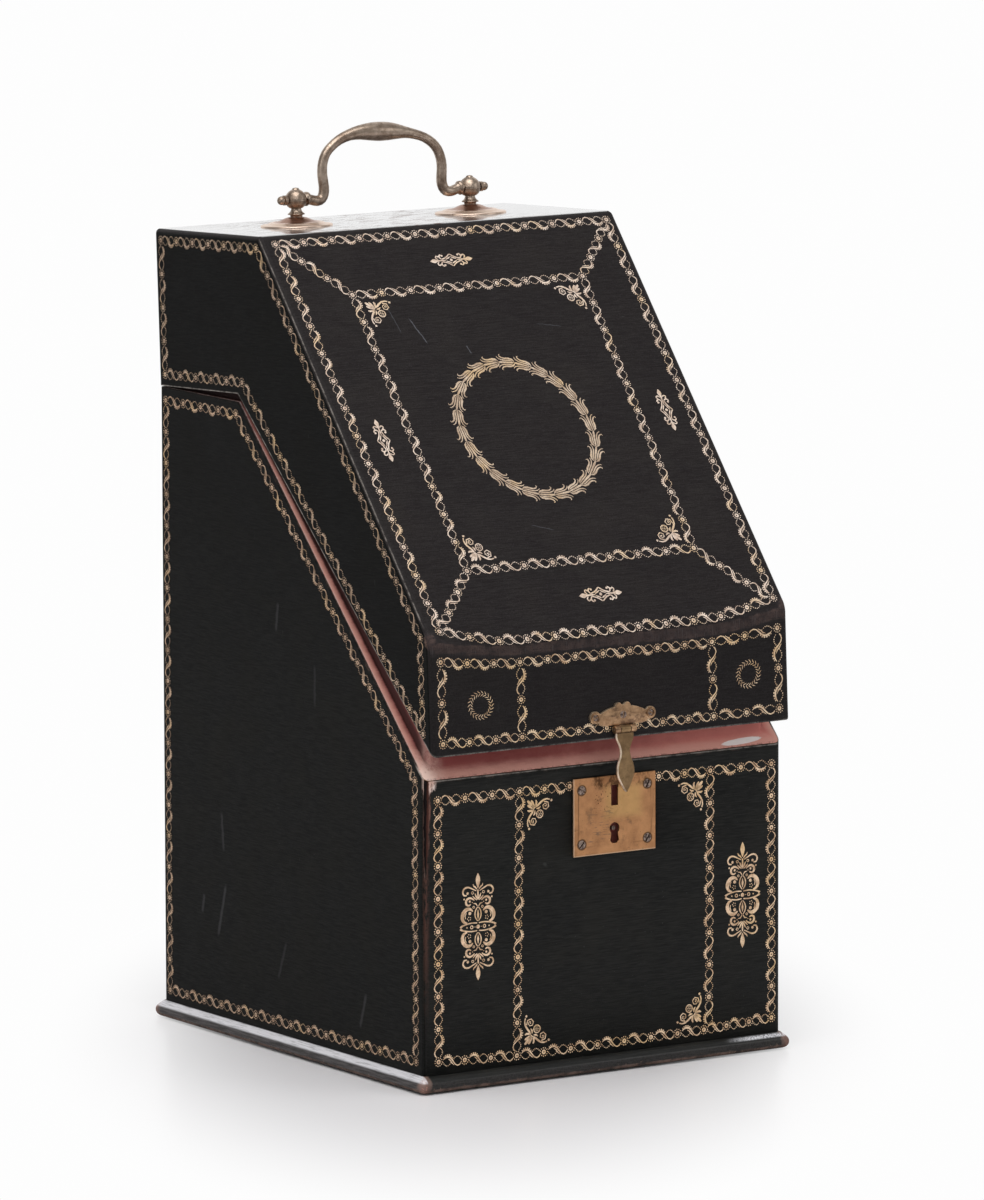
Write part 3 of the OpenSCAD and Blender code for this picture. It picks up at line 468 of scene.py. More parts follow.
def open_behind(shape, low, high):
    """Cuts a hole in the front, for what is let in there."""
    for corner in (low, high):
        for normal in ((1, 0, 0), (0, 0, 1)):
            cut(shape, all_of(shape), corner, normal)
    middles = [(f, f.calc_center_median()) for f in shape.faces]
    bmesh.ops.delete(shape, geom=[f for f, at in middles if low.x < at.x < high.x and low.z < at.z < high.z],
                     context="FACES")


def leave(shape, keep):
    """A copy of a shape with only the faces that are wanted."""
    part = shape.copy()
    bmesh.ops.delete(part, geom=[f for f in part.faces if not keep(f)], context="FACES")
    return part


def framed(shape):
    """Gives each large flat face a narrow rim, so that the rounded edges beside it don't bend its shading.
    The front's have none, because their lower edge is folded sharply inwards."""
    large = [f for f in shape.faces if f.calc_area() > 1000 and f.normal.y > -0.9]
    bmesh.ops.inset_individual(shape, faces=large, thickness=0.6, use_even_offset=True)


def thicken(piece, thickness):
    """Gives a sheet its thickness, inwards."""
    wall = piece.modifiers.new("thickness", "SOLIDIFY")
    wall.thickness = thickness / 1000
    wall.offset = -1
    wall.use_even_offset = True


case_shell = block((-half_w, y_front, floor_z), (half_w, y_back, split_back + 30))
round_off(case_shell, upright(case_shell), corner_round, 6)
below_split(case_shell, 0)
bmesh.ops.delete(case_shell, geom=[f for f in case_shell.faces if f.normal.z < -0.9], context="FACES")
framed(case_shell)
for height in range(60, 146, 6):
    cut(case_shell, all_of(case_shell), (0, 0, height), (0, 0, 1))


def above_split(skin):
    """How far a place is above the split, square to it."""
    slanted = (skin.z - split_front - (skin.y - y_front) * math.tan(split_tilt)) * math.cos(split_tilt)
    return (skin.z - split_back).most(slanted)


def worn_case(skin):
    """Near the upright corners, the open seam and the top edge."""
    corner = (abs(skin.x) - (half_w - 3)).least(abs(skin.y) - (y_back - 3)) / 3
    seam = (0 - skin.x - (half_w - 3)).least(0 - skin.y - (y_back - 3)).fade(0.4, 2.4) * skin.z.fade(60, 120)
    return (corner.fade(0.45, 1.1) * 0.5).most(seam * 0.7).most(above_split(skin).fade(-2.5, -0.6) * 0.42)


def raw_case(skin):
    """The cut edge at the front; at the sides the leather is turned in."""
    aside = abs(skin.x).fade(half_w - 0.6, half_w - 0.3) * (skin.y - y_front).fade(4, 10)
    return above_split(skin).fade(-0.55, -0.1) * (1 - aside)


def scratched(skin, colour, across, down, lines, tint, spread=0.35):
    """Thin pale scratches, each from one place to another on the two axes of a face."""
    trace = skin.noise(3, detail=3, roughness=0.7, shift=73)
    for start, end, share in lines:
        start, end = Vector(start), Vector(end)
        way = (end - start).normalized()
        middle, half = (start + end) / 2, (end - start).length / 2
        beside = (across - middle.x) * way.y - (down - middle.y) * way.x
        along = (across - middle.x) * way.x + (down - middle.y) * way.y
        line = (beside + (trace - 0.5) * 1.5).near(0.1, spread) * (along / half).near(0.7, 1.0)
        colour = skin.mix(line * share, colour, tint)
    return colour


def case_marks(skin, colour):
    """Darker towards the top, with scuffs from use on the left side, and open at the front left seam."""
    colour = skin.mix(skin.z.fade(130, 300) * 0.45, colour, (0.004, 0.004, 0.004))
    scuffs = (((-62, 108), (-60, 88), 0.3), ((-58, 74), (-66, 46), 0.4), ((-78, 66), (-80, 56), 0.35),
              ((-4, 54), (-12, 34), 0.22), ((66, 40), (60, 22), 0.35), ((22, 190), (22, 168), 0.2),
              ((-10, 215), (-12, 200), 0.3))
    scuffed = scratched(skin, colour, 0 - skin.y, skin.z, scuffs, (0.08, 0.08, 0.083), 1.5)
    return open_seam(skin, skin.mix(skin.x.fade(-10, 10), scuffed, colour))


def open_seam(skin, colour):
    """The split at the front left corner: a gap painted near black as the shade inside it, narrower
    downwards, its lip pale with bare leather.
    """
    ragged = skin.noise(2.2, (1, 1, 2.5), detail=4, roughness=0.7, shift=53)
    across = (skin.x + half_w) - (skin.y - y_front) - 0.6 - skin.z.fade(108, 150) * 0.6
    half = skin.z.fade(98, 114) * (1.2 + skin.z.fade(112, 148) * 0.5 + (ragged - 0.5) * 2.4)
    away = abs(across)
    lip = (across - half).near(0.25, 0.9, 0.5) * skin.z.fade(104, 136) * ragged.fade(0.4, 0.6)
    fluff = across.near(1.8, 5.4, 1.6) * (skin.z + (ragged - 0.5) * 16 - away).fade(137.5, 141)
    stain = (1 - (away + (ragged - 0.5) * 5).fade(0.4, 3.0)) * ragged.fade(0.38, 0.56) * skin.z.fade(20, 90)
    fibres = skin.mix(ragged.fade(0.4, 0.6), (0.62, 0.4, 0.33), (0.84, 0.68, 0.61))
    # Painted shade: the gap is coloured near black to dark red-brown; the leather itself is not opened.
    painted_gap_shade = skin.mix((across * 0.4 + ragged).fade(0.5, 0.9), (0.005, 0.002, 0.002), (0.06, 0.02, 0.014))
    torn = skin.coats(colour, (stain * 0.8, (0.1, 0.046, 0.034)), (lip * 0.8, (0.22, 0.105, 0.08)),
                      (fluff, fibres), ((half - away).fade(-0.15, 0.2), painted_gap_shade))
    return skin.mix((skin.x + half_w).most(skin.y - y_front).fade(14, 22), torn, colour)


case_skin = leather_finish("case_leather", 1, worn_case, raw_case, tone=0.8, specular=0.05, marks=case_marks)
front_skin = leather_finish("front_leather_skin", 0, worn_case, raw_case, marks=open_seam)
panels = {
    "front": (lambda f: f.normal.y < -0.72, front_skin),
    "back": (lambda f: f.normal.y > 0.72, front_skin),
    "left": (lambda f: f.normal.x <= -0.69, case_skin),
    "right": (lambda f: f.normal.x >= 0.69, case_skin)}
for side, (wanted, skin) in panels.items():
    sheet = leave(case_shell, wanted)
    if side == "front":
        open_behind(sheet, plate_low + under_plate, plate_high - under_plate)
    panel = settle(f"{side}_panel", sheet, skin, "case", "dark_leather")
    thicken(panel, leather_t)
    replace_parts(panel, f"{side}_leather")
case_shell.free()


# Rim: thin boards inside the walls that stand above the split and guide the lid. They are covered
# in rose-red leather, faded on top and rubbed pale at the front corners.
rim_t = 3.5
rim_in = 5.5
turned_in = 1.1


def rose_finish(name, on_lid=False, pale=0.0, marks=None):
    """Faded rose-red skiver, blotched, with dark specks and pale rubbed places."""
    rose = Finish(name, on_lid, {"Specular IOR Level": 0.3})
    blotch = rose.noise(9, detail=5, roughness=0.65)
    fleck = rose.noise(1.3, detail=3, shift=4)
    rub = rose.noise(4, (4, 1, 1), detail=4, roughness=0.7, shift=9)
    colour = rose.coats(rose.mix(blotch.fade(0.35, 0.65), (0.27, 0.07, 0.06), (0.46, 0.165, 0.14)),
                        (rub.fade(0.52, 0.78) * (0.45 + pale), (0.55, 0.3, 0.24)),
                        (fleck.fade(0.68, 0.78) * 0.7, (0.06, 0.02, 0.02)))
    if marks:
        colour = marks(rose, colour)
    rose.wear(colour=colour, roughness=0.62 + blotch * 0.2, height=fleck + blotch, depth=0.2, strength=0.6)
    return rose


rim_inner = rim_in + rim_t
case_half = Vector((half_w, (y_back - y_front) / 2, (y_back + y_front) / 2))
base_top = base_high.z + 0.1
rim_section = [(rim_in, 5.0, None), (rim_in, 5.0, 0.02), (0.4, 2.6, 0.02), (0.5, 2.5, 0.12),
               (rim_in, 5.0, 0.14), (rim_in, 5.0, 13.7), (rim_in + 0.4, 4.7, 14.6),
               (rim_in + 1.2, 4.0, 15.0), (rim_inner - 1.2, 2.9, 15.0), (rim_inner - 0.4, 2.2, 14.6),
               (rim_inner, 2.0, 13.7), (rim_inner, 2.0, None)]
rim_shell = outline_of((-half_w + rim_in, y_front + rim_in, 0), (half_w - rim_in, y_back - rim_in, 50), 5.0)
cut(rim_shell, all_of(rim_shell), (0, split_y, 0), (0, 1, 0))
ring_now = set(rim_shell.verts)
for vert in ring_now:
    vert.co.z = base_top
for (start_in, start_r, _), (inset, radius, rise) in zip(rim_section, rim_section[1:]):
    top = (lambda y: base_top) if rise is None else (lambda y, up=rise: split_z(y, up))
    ring_now = next_ring(rim_shell, ring_now, pulled(case_half, (start_in, start_r), (inset, radius), top))
bmesh.ops.bridge_loops(rim_shell, edges=[e for e in rim_shell.edges if e.is_boundary])
bmesh.ops.recalc_face_normals(rim_shell, faces=rim_shell.faces)


def faded_rim_and_painted_shade(rose, colour):
    """Paler to the right and along the foot. Painted shade under the lid: darker red up the wall, most on the
    left, near black towards the back and in a band on the ledge at the sides. The dark leather is turned in
    beside it at the sides; it is rubbed and torn at the front left corner, and peeled in one place."""
    rise, deep, beside = above_split(rose), rose.y - y_front, half_w - abs(rose.x)
    reach = beside.least(deep).least(rim_in) + rise.most(0)
    brushed = rose.noise(1.5, (10, 10, 1), detail=5, roughness=0.7, shift=61)
    tuft = rose.noise(3.2, detail=5, roughness=0.75, shift=67)
    foot = (1 - (reach + (brushed - 0.5) * 3).fade(1.6, 6.0)) * (1 - rose.y.fade(0, 45))
    corner = (-84 - rose.x).least(-100 - rose.y).fade(0, 8)
    torn = (-90 - rose.x).least(-106 - rose.y).fade(0, 7) * (1 - (reach + (tuft - 0.5) * 8).fade(4.5, 7))
    # Painted shadow of the lid's edge: a band on the ledge at the sides.
    painted_lid_shadow = (reach + (brushed - 0.5) * 1.2 + rose.y * 0.018 - 2.9).fade(0, 1.1) * (1 - rise.fade(3, 8))
    turned = (beside + (tuft - 0.5) * 0.5) - turned_in
    frayed = turned.near(0.1, 0.4) * deep.fade(4, 8) * tuft.fade(0.35, 0.6)
    long, wide = (rose.x - 79) / 12, (reach - 2.5 - (rose.x - 79) * 0.05) / 1.25
    peeled = 1 - (long * long + wide * wide + (tuft - 0.5) * 0.6).fade(0.8, 1.05)
    return rose.coats(
        colour, (rose.x.fade(-70, 90) * 0.8, (0.82, 0.275, 0.23)),
        # Painted shade: deeper red up the wall towards the lid's edge, most on the left.
        ((0.15 + reach.fade(2.5, 7) * 0.85) * (1 - rose.x.fade(-100, 60) * 0.8), (0.3, 0.068, 0.062)),
        # Painted shade: near black towards the back, under the lid.
        (rose.y.fade(20, 56) * 0.9, (0.035, 0.014, 0.012)), (foot * 0.8, (0.7, 0.36, 0.29)),
        (corner * tuft.fade(0.2, 0.7) * 0.85, (0.7, 0.43, 0.36)),
        (torn * tuft.fade(0.3, 0.5), (0.86, 0.62, 0.53)),
        # Painted shadow of the lid's edge, near black on the ledge at the sides.
        (painted_lid_shadow * deep.fade(5, 12) * 0.9, (0.03, 0.012, 0.011)), (frayed * 0.7, (0.5, 0.45, 0.42)),
        ((1 - turned.fade(-0.35, -0.1)) * deep.fade(4, 8), (0.011, 0.011, 0.0105)),
        (peeled * (1 - rose.y.fade(-106, -100)), rose.mix(brushed, (0.8, 0.66, 0.62), (0.98, 0.93, 0.9))),
        ((1 - reach.fade(0.7, 1.3)) * tuft.fade(0.45, 0.6) * 0.6, (0.12, 0.05, 0.04)))


rose = rose_finish("rim_leather_rose", marks=faded_rim_and_painted_shade)
rim = settle("rim_covered", rim_shell, rose, "case", "rim_leather", crease=50)
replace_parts(rim, "rim_front", "rim_back", "rim_left", "rim_right")
dress(rose, "floor_lining")


# Lining of the lid: the same rose leather, pasted inside top, slope, apron, back and sides. The foot
# of the long strip is cut along the split.
lid_rose = rose_finish("lid_lining_rose", on_lid=True, pale=0.1)
dress(lid_rose, "lid_side_linings")

lining_lift = 0.5
lining = bmesh.new()
lining.from_mesh(frame["nodes"]["lid_lining"].data)
bmesh.ops.scale(lining, vec=(1000, 1000, 1000), verts=lining.verts)
bmesh.ops.transform(lining, matrix=set_ajar.inverted(), verts=lining.verts)
bmesh.ops.remove_doubles(lining, verts=lining.verts, dist=0.001)
foot = [f for f in lining.faces if all(v.co.y < y_front + 8 for v in f.verts)]
cut(lining, parts_of(foot), split_corner(lining_lift), split_normal, clear_inner=True)
bmesh.ops.contextual_create(lining, geom=[e for e in lining.edges if e.is_boundary])
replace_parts(settle("lid_lining_trimmed", lining, lid_rose, "lid", "rim_leather"), "lid_lining")


# Leather of the lid: one strip over the top, the slope and the apron, a panel on each side and one
# on the back. It is rubbed brown along the fold between slope and apron, which sags in its middle.
lid_top = 381.0
lid_top_d = 94.0
fold_z = 201.0
lid_lift = 0.4
slope_top_y = y_back - lid_top_d
slope_tilt = math.atan2(lid_top - fold_z, slope_top_y - y_front)
slope_length = (lid_top - fold_z) / math.sin(slope_tilt)
slope_up = Vector((0, math.cos(slope_tilt), math.sin(slope_tilt)))
slope_out = Vector((0, -math.sin(slope_tilt), math.cos(slope_tilt)))
sag_drop, sag_from, sag_to, sag_rise = 4.45, 45.0, 93.0, 46.6
sag_rows = 10
board_t = 3.6
board_out, board_in = leather_t, leather_t + board_t
boards_x = half_w - 5.8

lid_shell = bmesh.new()
outline = [(y_back, split_back + lid_lift), (y_back, lid_top), (slope_top_y, lid_top), (y_front, fold_z),
           (y_front, split_z(y_front, lid_lift)), (split_corner(lid_lift).y, split_back + lid_lift)]
side_face = lid_shell.faces.new([lid_shell.verts.new((-half_w, y, z)) for y, z in outline])
push(lid_shell, [side_face], (2 * half_w, 0, 0))
bmesh.ops.recalc_face_normals(lid_shell, faces=lid_shell.faces)


def along_fold(edge):
    return all(abs(v.co.y - y_front) < 0.1 and abs(v.co.z - fold_z) < 0.1 for v in edge.verts)


def on_underside(face):
    return face.normal.z < -0.5 and abs(face.normal.x) < 0.1


def under_side(face, side):
    """Whether a face is turned in under the left or the right panel."""
    at = face.calc_center_median()
    return on_underside(face) and side * at.x > half_w - ledge * 0.75 and at.y > y_front + ledge * 0.52


round_off(lid_shell, [e for e in lid_shell.edges if along_fold(e)], 3.0)
outer_edges = [e for e in lid_shell.edges
               if not any(on_underside(f) for f in e.link_faces) and e.calc_face_angle(0) > math.radians(25)]
round_off(lid_shell, outer_edges, 2.4)
bmesh.ops.delete(lid_shell, geom=[f for f in lid_shell.faces if on_underside(f)], context="FACES")
framed(lid_shell)
turn_in(lid_shell, lid_lift, ledge - 0.4)


def sag(verts):
    """Lowers the middle of the fold, and the slope and the apron towards it, as a warped board has done."""
    low = split_z(y_front, lid_lift)
    for vert in verts:
        away = max(0, min(1, (abs(vert.co.x) - sag_from) / (sag_to - sag_from)))
        over = vert.co.z - fold_z
        share = max(0, 1 - over / sag_rise) ** 2 if over > 0 else max(0, 1 + over / (fold_z - low))
        vert.co.z -= sag_drop * (1 - away * away) * share


def cut_across(shape, wanted):
    """Divides the wanted faces of a shape into upright columns."""
    for x in range(-96, 97, 4):
        cut(shape, parts_of([f for f in shape.faces if wanted(f)]), (x, 0, 0), (1, 0, 0))


def in_front(face):
    return face.normal.y < -0.5 and abs(face.normal.x) < 0.1


for k in range(sag_rows):
    cut(lid_shell, parts_of([f for f in lid_shell.faces if in_front(f)]),
        (0, 0, fold_z + sag_rise * (k + 1) / sag_rows), (0, 0, 1))
cut_across(lid_shell, lambda face: in_front(face) and face.calc_center_median().z < fold_z + sag_rise)
sag(lid_shell.verts)


def foot_corner(inset):
    """The foot of the apron's board, which follows the split and stands on the turned-in leather."""
    return y_front + inset, split_z(y_front + inset, lid_lift + leather_t)


def top_corner(inset):
    return slope_top_y + inset * math.tan(slope_tilt / 2), lid_top - inset


def fold_corner(inset):
    return y_front + inset, fold_z - inset * math.tan(math.pi / 4 - slope_tilt / 2)


high, low = Vector(top_corner(board_out)), Vector(fold_corner(board_out))
outside = [high] + [low.lerp(high, k / 40) for k in range(11, 0, -1)] + [low, Vector(foot_corner(board_out))]
inside = [foot_corner(board_in), fold_corner(board_in), top_corner(board_in)]
boards = bmesh.new()
end = boards.faces.new([boards.verts.new((-boards_x, *point)) for point in (*outside, *inside)])
push(boards, [end], (2 * boards_x, 0, 0))
bmesh.ops.recalc_face_normals(boards, faces=boards.faces)
cut_across(boards, lambda face: abs(face.normal.x) < 0.1)
sag([v for v in boards.verts if any(abs(v.co.y - p.x) + abs(v.co.z - p.y) < 0.01 for p in outside)])
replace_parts(settle("lid_boards_hollow", boards, lid_carcass, "lid", "wood"), "lid_slope_board",
            "lid_apron_board")


def on_slope(skin):
    """How far a place is out from the slope, and up it from the fold."""
    out = (skin.y - y_front) * slope_out.y + (skin.z - fold_z) * slope_out.z
    up = (skin.y - y_front) * slope_up.y + (skin.z - fold_z) * slope_up.z
    return out, up


def worn_fold(skin, up):
    """The rubbed band under the sagging fold, and a patch at each of its ends."""
    patch = 0.8 + skin.x.near(8, 60, 38) * 0.2
    away = ((abs(skin.x) - sag_from) / (sag_to - sag_from)).most(0).least(1)
    from_fold = up + (1 - away * away) * (sag_drop * slope_up.z) + 2.8
    band = from_fold.near(0.6, 4.2) * patch * skin.x.near(half_w - 1.4, half_w - 0.2)
    end = 1 - distance(abs(skin.x) - half_w, skin.y - y_front, skin.z - fold_z).fade(2.5, 7.5)
    return band.most(end * 0.8)


def worn_lid(skin):
    """Along the fold, the edges and the lower edge of the closed lid."""
    out, up = on_slope(skin)
    streak = skin.noise(0.9, (14, 1, 1), detail=4, roughness=0.7, shift=71)
    fold = worn_fold(skin, up) * (0.6 + streak.fade(0.3, 0.6) * 0.4)
    side = (abs(skin.x) - (half_w - 3)) / 3
    edge = side.fade(0.5, 1.0) * out.fade(-4.0, -1.0) * 0.42
    corner = side.least((y_front + 3 - skin.y) / 3).fade(0.3, 1.0) * 0.5
    return fold.most(edge).most(corner).most((1 - above_split(skin).fade(0.8, 3.4)) * 0.4)


def lid_raw_edge_and_painted_glint(skin):
    """The cut lower edge, and a pale line along the slope's side edges, partly rubbed leather and partly a
    painted highlight.
    """
    out, up = on_slope(skin)
    # Pale line along the slope's side edges: partly rubbed leather, partly a painted highlight of the rounded
    # edge.
    side = abs(skin.x).fade(half_w - 1.1, half_w - 0.6) * out.fade(-1.3, -0.7) * up.fade(6, 14)
    return (1 - above_split(skin).fade(0.45, 1.1)).most(side)


def top_stain(skin):
    """Where the top is stained: between the posts, in streaks along it."""
    stain = skin.noise(5, (2.6, 1, 1), detail=5, roughness=0.75, shift=83)
    return stain.fade(0.52, 0.58) * skin.x.near(40, 90, -10)


def top_shine(skin, cloud):
    """The top is polished by handling and stands nearly level with the eye."""
    streak = skin.noise(1.4, (12, 1, 1), detail=4, roughness=0.6, shift=31)
    return streak.fade(0.15, 0.4) * (1 - top_stain(skin) * 0.9)


def slope_marks(skin, colour):
    """Pale and dark specks, the rubbed fold with hairs across it, a darker apron that leaves the slope
    lighter as painted light from above, and thin scratches.
    """
    out, up = on_slope(skin)
    fold = worn_fold(skin, up)
    hair = skin.noise(0.45, (1, 10, 10), detail=2, roughness=0.6, shift=97)
    pepper = skin.noise(0.6, detail=2, roughness=0.7, shift=89)
    colour = skin.coats(
        colour, (pepper.fade(0.56, 0.72) * 0.6, (0.046, 0.042, 0.045)),
        (1 - pepper.fade(0.32, 0.44), (0.008, 0.007, 0.007)), (fold * 0.62, (0.042, 0.036, 0.037)),
        (fold * hair.fade(0.54, 0.72) * 0.55, (0.14, 0.128, 0.128)), (0.22, (0.022, 0.008, 0.012)),
        # Darker apron: the slope alone keeps this copy's lighter tone, painted light from above.
        ((1 - up.fade(-4, 0)) * 0.32, (0.003, 0.003, 0.003)))
    scratches = (((-38, -51), (-33, -67), 0.45), ((-47, -42), (-45, -60), 0.2), ((-13, -69), (-12, -74), 0.4),
                 ((30, -60), (44, -63), 0.15), ((-20, -170), (-8, -174), 0.2))
    return scratched(skin, colour, skin.x, up - slope_length, scratches, (0.2, 0.21, 0.24))


def top_stains_and_painted_sheen(skin, colour):
    """Pale grey streaks, partly rubbed finish and partly a painted sheen of the polished top, with
    reddish-brown stains between the posts.
    """
    streak = skin.noise(1.2, (9, 1, 1), detail=4, roughness=0.7, shift=79)
    stain = top_stain(skin) * 0.9
    skin.wear(metallic=stain)
    # Painted sheen: the pale grey streaks lighten the top as its reflection does.
    return skin.coats(colour, (streak.fade(0.2, 0.6) * 0.85, (0.22, 0.217, 0.222)),
                      (stain, (0.15, 0.065, 0.048)))


# Tones as light falls: the top-slope-apron strip is lighter (1.35), painted light; sides and back darker
# (0.48), painted shade.
lid_skin = leather_finish("lid_leather", 0, worn_lid, lid_raw_edge_and_painted_glint, on_lid=True, tone=1.35, marks=slope_marks)
top_skin = leather_finish("lid_top_leather", 0, worn_lid, lid_raw_edge_and_painted_glint, on_lid=True, tone=1.35, specular=1.0,
                          shine=top_shine, marks=top_stains_and_painted_sheen, gloss=0.12, relief=0.12)
top_skin.surface.inputs["Coat Roughness"].default_value = 0.06
top_skin.surface.inputs["Coat IOR"].default_value = 1.5
lid_side_skin = leather_finish("lid_side_leather", 1, worn_lid, lid_raw_edge_and_painted_glint, on_lid=True, tone=0.48,
                               specular=0.05)
lid_panels = {
    "lid_back": (lambda f: f.normal.y > 0.9, lid_side_skin),
    "lid_left": (lambda f: f.normal.x < -0.9 or under_side(f, -1), lid_side_skin),
    "lid_right": (lambda f: f.normal.x > 0.9 or under_side(f, 1), lid_side_skin)}
tests = [wanted for wanted, _ in lid_panels.values()]
lid_panels["lid_front"] = (lambda f: not any(test(f) for test in tests), lid_skin)
for side, (wanted, skin) in lid_panels.items():
    panel = settle(f"{side}_panel", leave(lid_shell, wanted), skin, "lid", "dark_leather")
    if side == "lid_front":
        panel.data.materials.append(top_skin.material)
        for polygon in panel.data.polygons:
            polygon.material_index = int(polygon.normal.z > 0.95)
    thicken(panel, leather_t)
    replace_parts(panel, f"{side}_leather")
lid_shell.free()


# Gilding: gold leaf tooled into the leather with small brass stamps and rolls. The roll that makes
# the borders repeats a rosette and two ovals, where a leafy ribbon crosses a string of beads.
leaf_lift = 0.05


def gold_finish(name, bright, dull, on_lid=False):
    """Worn gold leaf, thin and brown where the leather shows through."""
    gold = Finish(name, on_lid, {"Metallic": 0.5, "Specular IOR Level": 0.4})
    rubbed = gold.noise(3.2, detail=4, roughness=0.7)
    pressed = gold.noise(0.5, detail=2, shift=2)
    tone = gold.mix(rubbed.fade(0.36, 0.62), bright, dull)
    tone = gold.mix(rubbed.fade(0.68, 0.85) * 0.7, tone, (0.12, 0.065, 0.04))
    tone = gold.mix(gold.noise(14, detail=3, shift=8).fade(0.5, 0.68) * 0.5, tone, (0.86, 0.6, 0.3))
    return gold.wear(colour=gold.mix(pressed.fade(0.66, 0.78) * 0.4, tone, [part * 0.3 for part in dull]),
                     roughness=0.36 + pressed * 0.35, height=pressed, depth=0.08)


def curve(points, steps):
    """Points of a smooth line through the given ones, each with a place and a half width."""
    ends = [Vector(p) for p in (points[0], *points, points[-1])]
    line = []
    for a, b, c, d in zip(ends, ends[1:], ends[2:], ends[3:]):
        for t in (i / steps for i in range(steps)):
            line.append(0.5 * (2 * b + (c - a) * t + (2 * a - 5 * b + 4 * c - d) * t ** 2
                               + (3 * b - a - 3 * c + d) * t ** 3))
    return line + [ends[-1]]


def stroke(tool, points, steps=2):
    """A line of gold whose width changes, drawn by pushing an edge along it."""
    line = curve(points, steps)
    edge = None
    for before, here, after in zip(line[:1] + line, line, line[1:] + line[-1:]):
        way = (after - before).to_2d().normalized()
        out = Vector((-way.y, way.x, 0)) * max(here.z, 0.02)
        middle = Vector((here.x, here.y, 0))
        if edge is None:
            edge = tool.edges.new([tool.verts.new(middle + out), tool.verts.new(middle - out)])
        else:
            grown = bmesh.ops.extrude_edge_only(tool, edges=[edge])["geom"]
            edge = next(g for g in grown if isinstance(g, bmesh.types.BMEdge))
            for vert in edge.verts:
                left = (vert.co - last_middle).dot(last_out) > 0
                vert.co = middle + (out if left else -out)
        last_middle, last_out = middle, out


def dot(tool, x, y, radius, sides=4):
    bmesh.ops.create_circle(tool, cap_ends=True, segments=sides, radius=radius,
                            matrix=Matrix.Translation((x, y, 0)))


def dots_round(tool, x, y, radius, count, size):
    """A ring of dots."""
    for k in range(count):
        angle = 2 * math.pi * k / count
        dot(tool, x + radius * math.cos(angle), y + radius * math.sin(angle), size)


def ring(tool, x, y, radius, half_width, sides=10):
    """A closed ring, spun from a short edge."""
    ends = [tool.verts.new((x + radius + side * half_width, y, 0)) for side in (-1, 1)]
    edge = tool.edges.new(ends)
    bmesh.ops.spin(tool, geom=ends + [edge], cent=(x, y, 0), axis=(0, 0, 1), angle=2 * math.pi, steps=sides,
                   use_merge=True)


def volute(tool, x, y, radius, start, turn=1, width=0.3):
    """A scroll that winds in from its rim, with a dot in its eye. It starts at an angle in degrees."""
    points = []
    for k in range(9):
        angle = math.radians(start + turn * k * 62)
        r = radius * (1 - k * 0.082)
        points.append((x + r * math.cos(angle), y + r * math.sin(angle), width * (1 - k * 0.05)))
    stroke(tool, points, 1)
    dot(tool, x, y, radius * 0.18, 5)


mirrors = {"x": Matrix.Diagonal((-1, 1, 1, 1)), "y": Matrix.Diagonal((1, -1, 1, 1)),
           "diagonal": Matrix(((0, 1, 0, 0), (1, 0, 0, 0), (0, 0, 1, 0), (0, 0, 0, 1)))}


def mirrored(tool, mirror):
    """Adds the mirror image of all that is drawn so far."""
    copy = bmesh.ops.duplicate(tool, geom=all_of(tool))["geom"]
    bmesh.ops.transform(tool, matrix=mirrors[mirror], verts=points_in(copy))


def tool_of(*marks):
    """Cuts a stamp from its marks, each a function that draws and what it is given. All its faces look up."""
    tool = bmesh.new()
    for draw, *given in marks:
        draw(tool, *given)
    bmesh.ops.recalc_face_normals(tool, faces=tool.faces)
    tool.normal_update()
    bmesh.ops.reverse_faces(tool, faces=[f for f in tool.faces if f.normal.z < 0])
    mesh = bpy.data.meshes.new("stamp")
    tool.to_mesh(mesh)
    tool.free()
    return mesh


repeat = 15.4
rosette = tool_of((ring, 0, 0, 0.76, 0.4, 9), (dots_round, 0, 0, 1.98, 11, 0.36))
weave = tool_of(
    (stroke, [(2.6, 0.7, 0.1), (3.5, 1.6, 0.34), (4.9, 2.15, 0.46), (6.4, 2.0, 0.5), (7.7, 1.0, 0.42),
              (8.8, -0.45, 0.3), (10.0, -1.75, 0.26), (11.3, -2.2, 0.3), (12.5, -1.75, 0.3),
              (13.2, -0.9, 0.2)], 1),
    (stroke, [(5.6, 1.1, 0.06), (6.8, 0.45, 0.24), (7.8, -0.8, 0.24), (9.2, -1.95, 0.12)], 1),
    *[(dot, *place_and_size, 5) for place_and_size in (
        (3.1, 2.1, 0.3), (3.95, 2.65, 0.38), (5.0, 2.95, 0.42), (6.15, 2.9, 0.42), (7.2, 2.4, 0.38),
        (8.0, 1.6, 0.3))],
    *[(dot, x, -2.15 * math.sin(2 * math.pi * (x - 2.2) / 11.6), 0.33) for x in (
        2.6, 3.25, 4.0, 4.85, 5.7, 6.55, 7.3, 9.0, 9.6, 10.35, 11.2, 12.05, 12.75)])
bellflower = tool_of(
    (stroke, [(-4.5, 0.6, 0.15), (-3.5, 1.75, 0.46), (-1.7, 2.3, 0.5), (0.4, 2.25, 0.42), (1.8, 2.55, 0.36),
              (2.8, 3.35, 0.3), (3.0, 4.1, 0.24), (2.4, 4.5, 0.12)], 1),
    (stroke, [(-3.6, 0.75, 0.12), (-2.0, 1.15, 0.34), (0.0, 1.15, 0.34), (1.9, 1.3, 0.3), (3.4, 1.95, 0.26),
              (4.3, 2.8, 0.2), (4.4, 3.4, 0.1)], 1), (mirrored, "y"),
    (stroke, [(-4.6, 0, 0.25), (-2.4, 0, 0.4), (0, 0, 0.44), (2.4, 0, 0.56), (3.8, 0, 0.44),
              (5.0, 0, 0.06)], 1))
laurel = tool_of((stroke, [(-0.75, 0.1, 0.1), (0.0, 0.7, 0.2), (0.7, 1.45, 0.05)], 1), (mirrored, "y"))
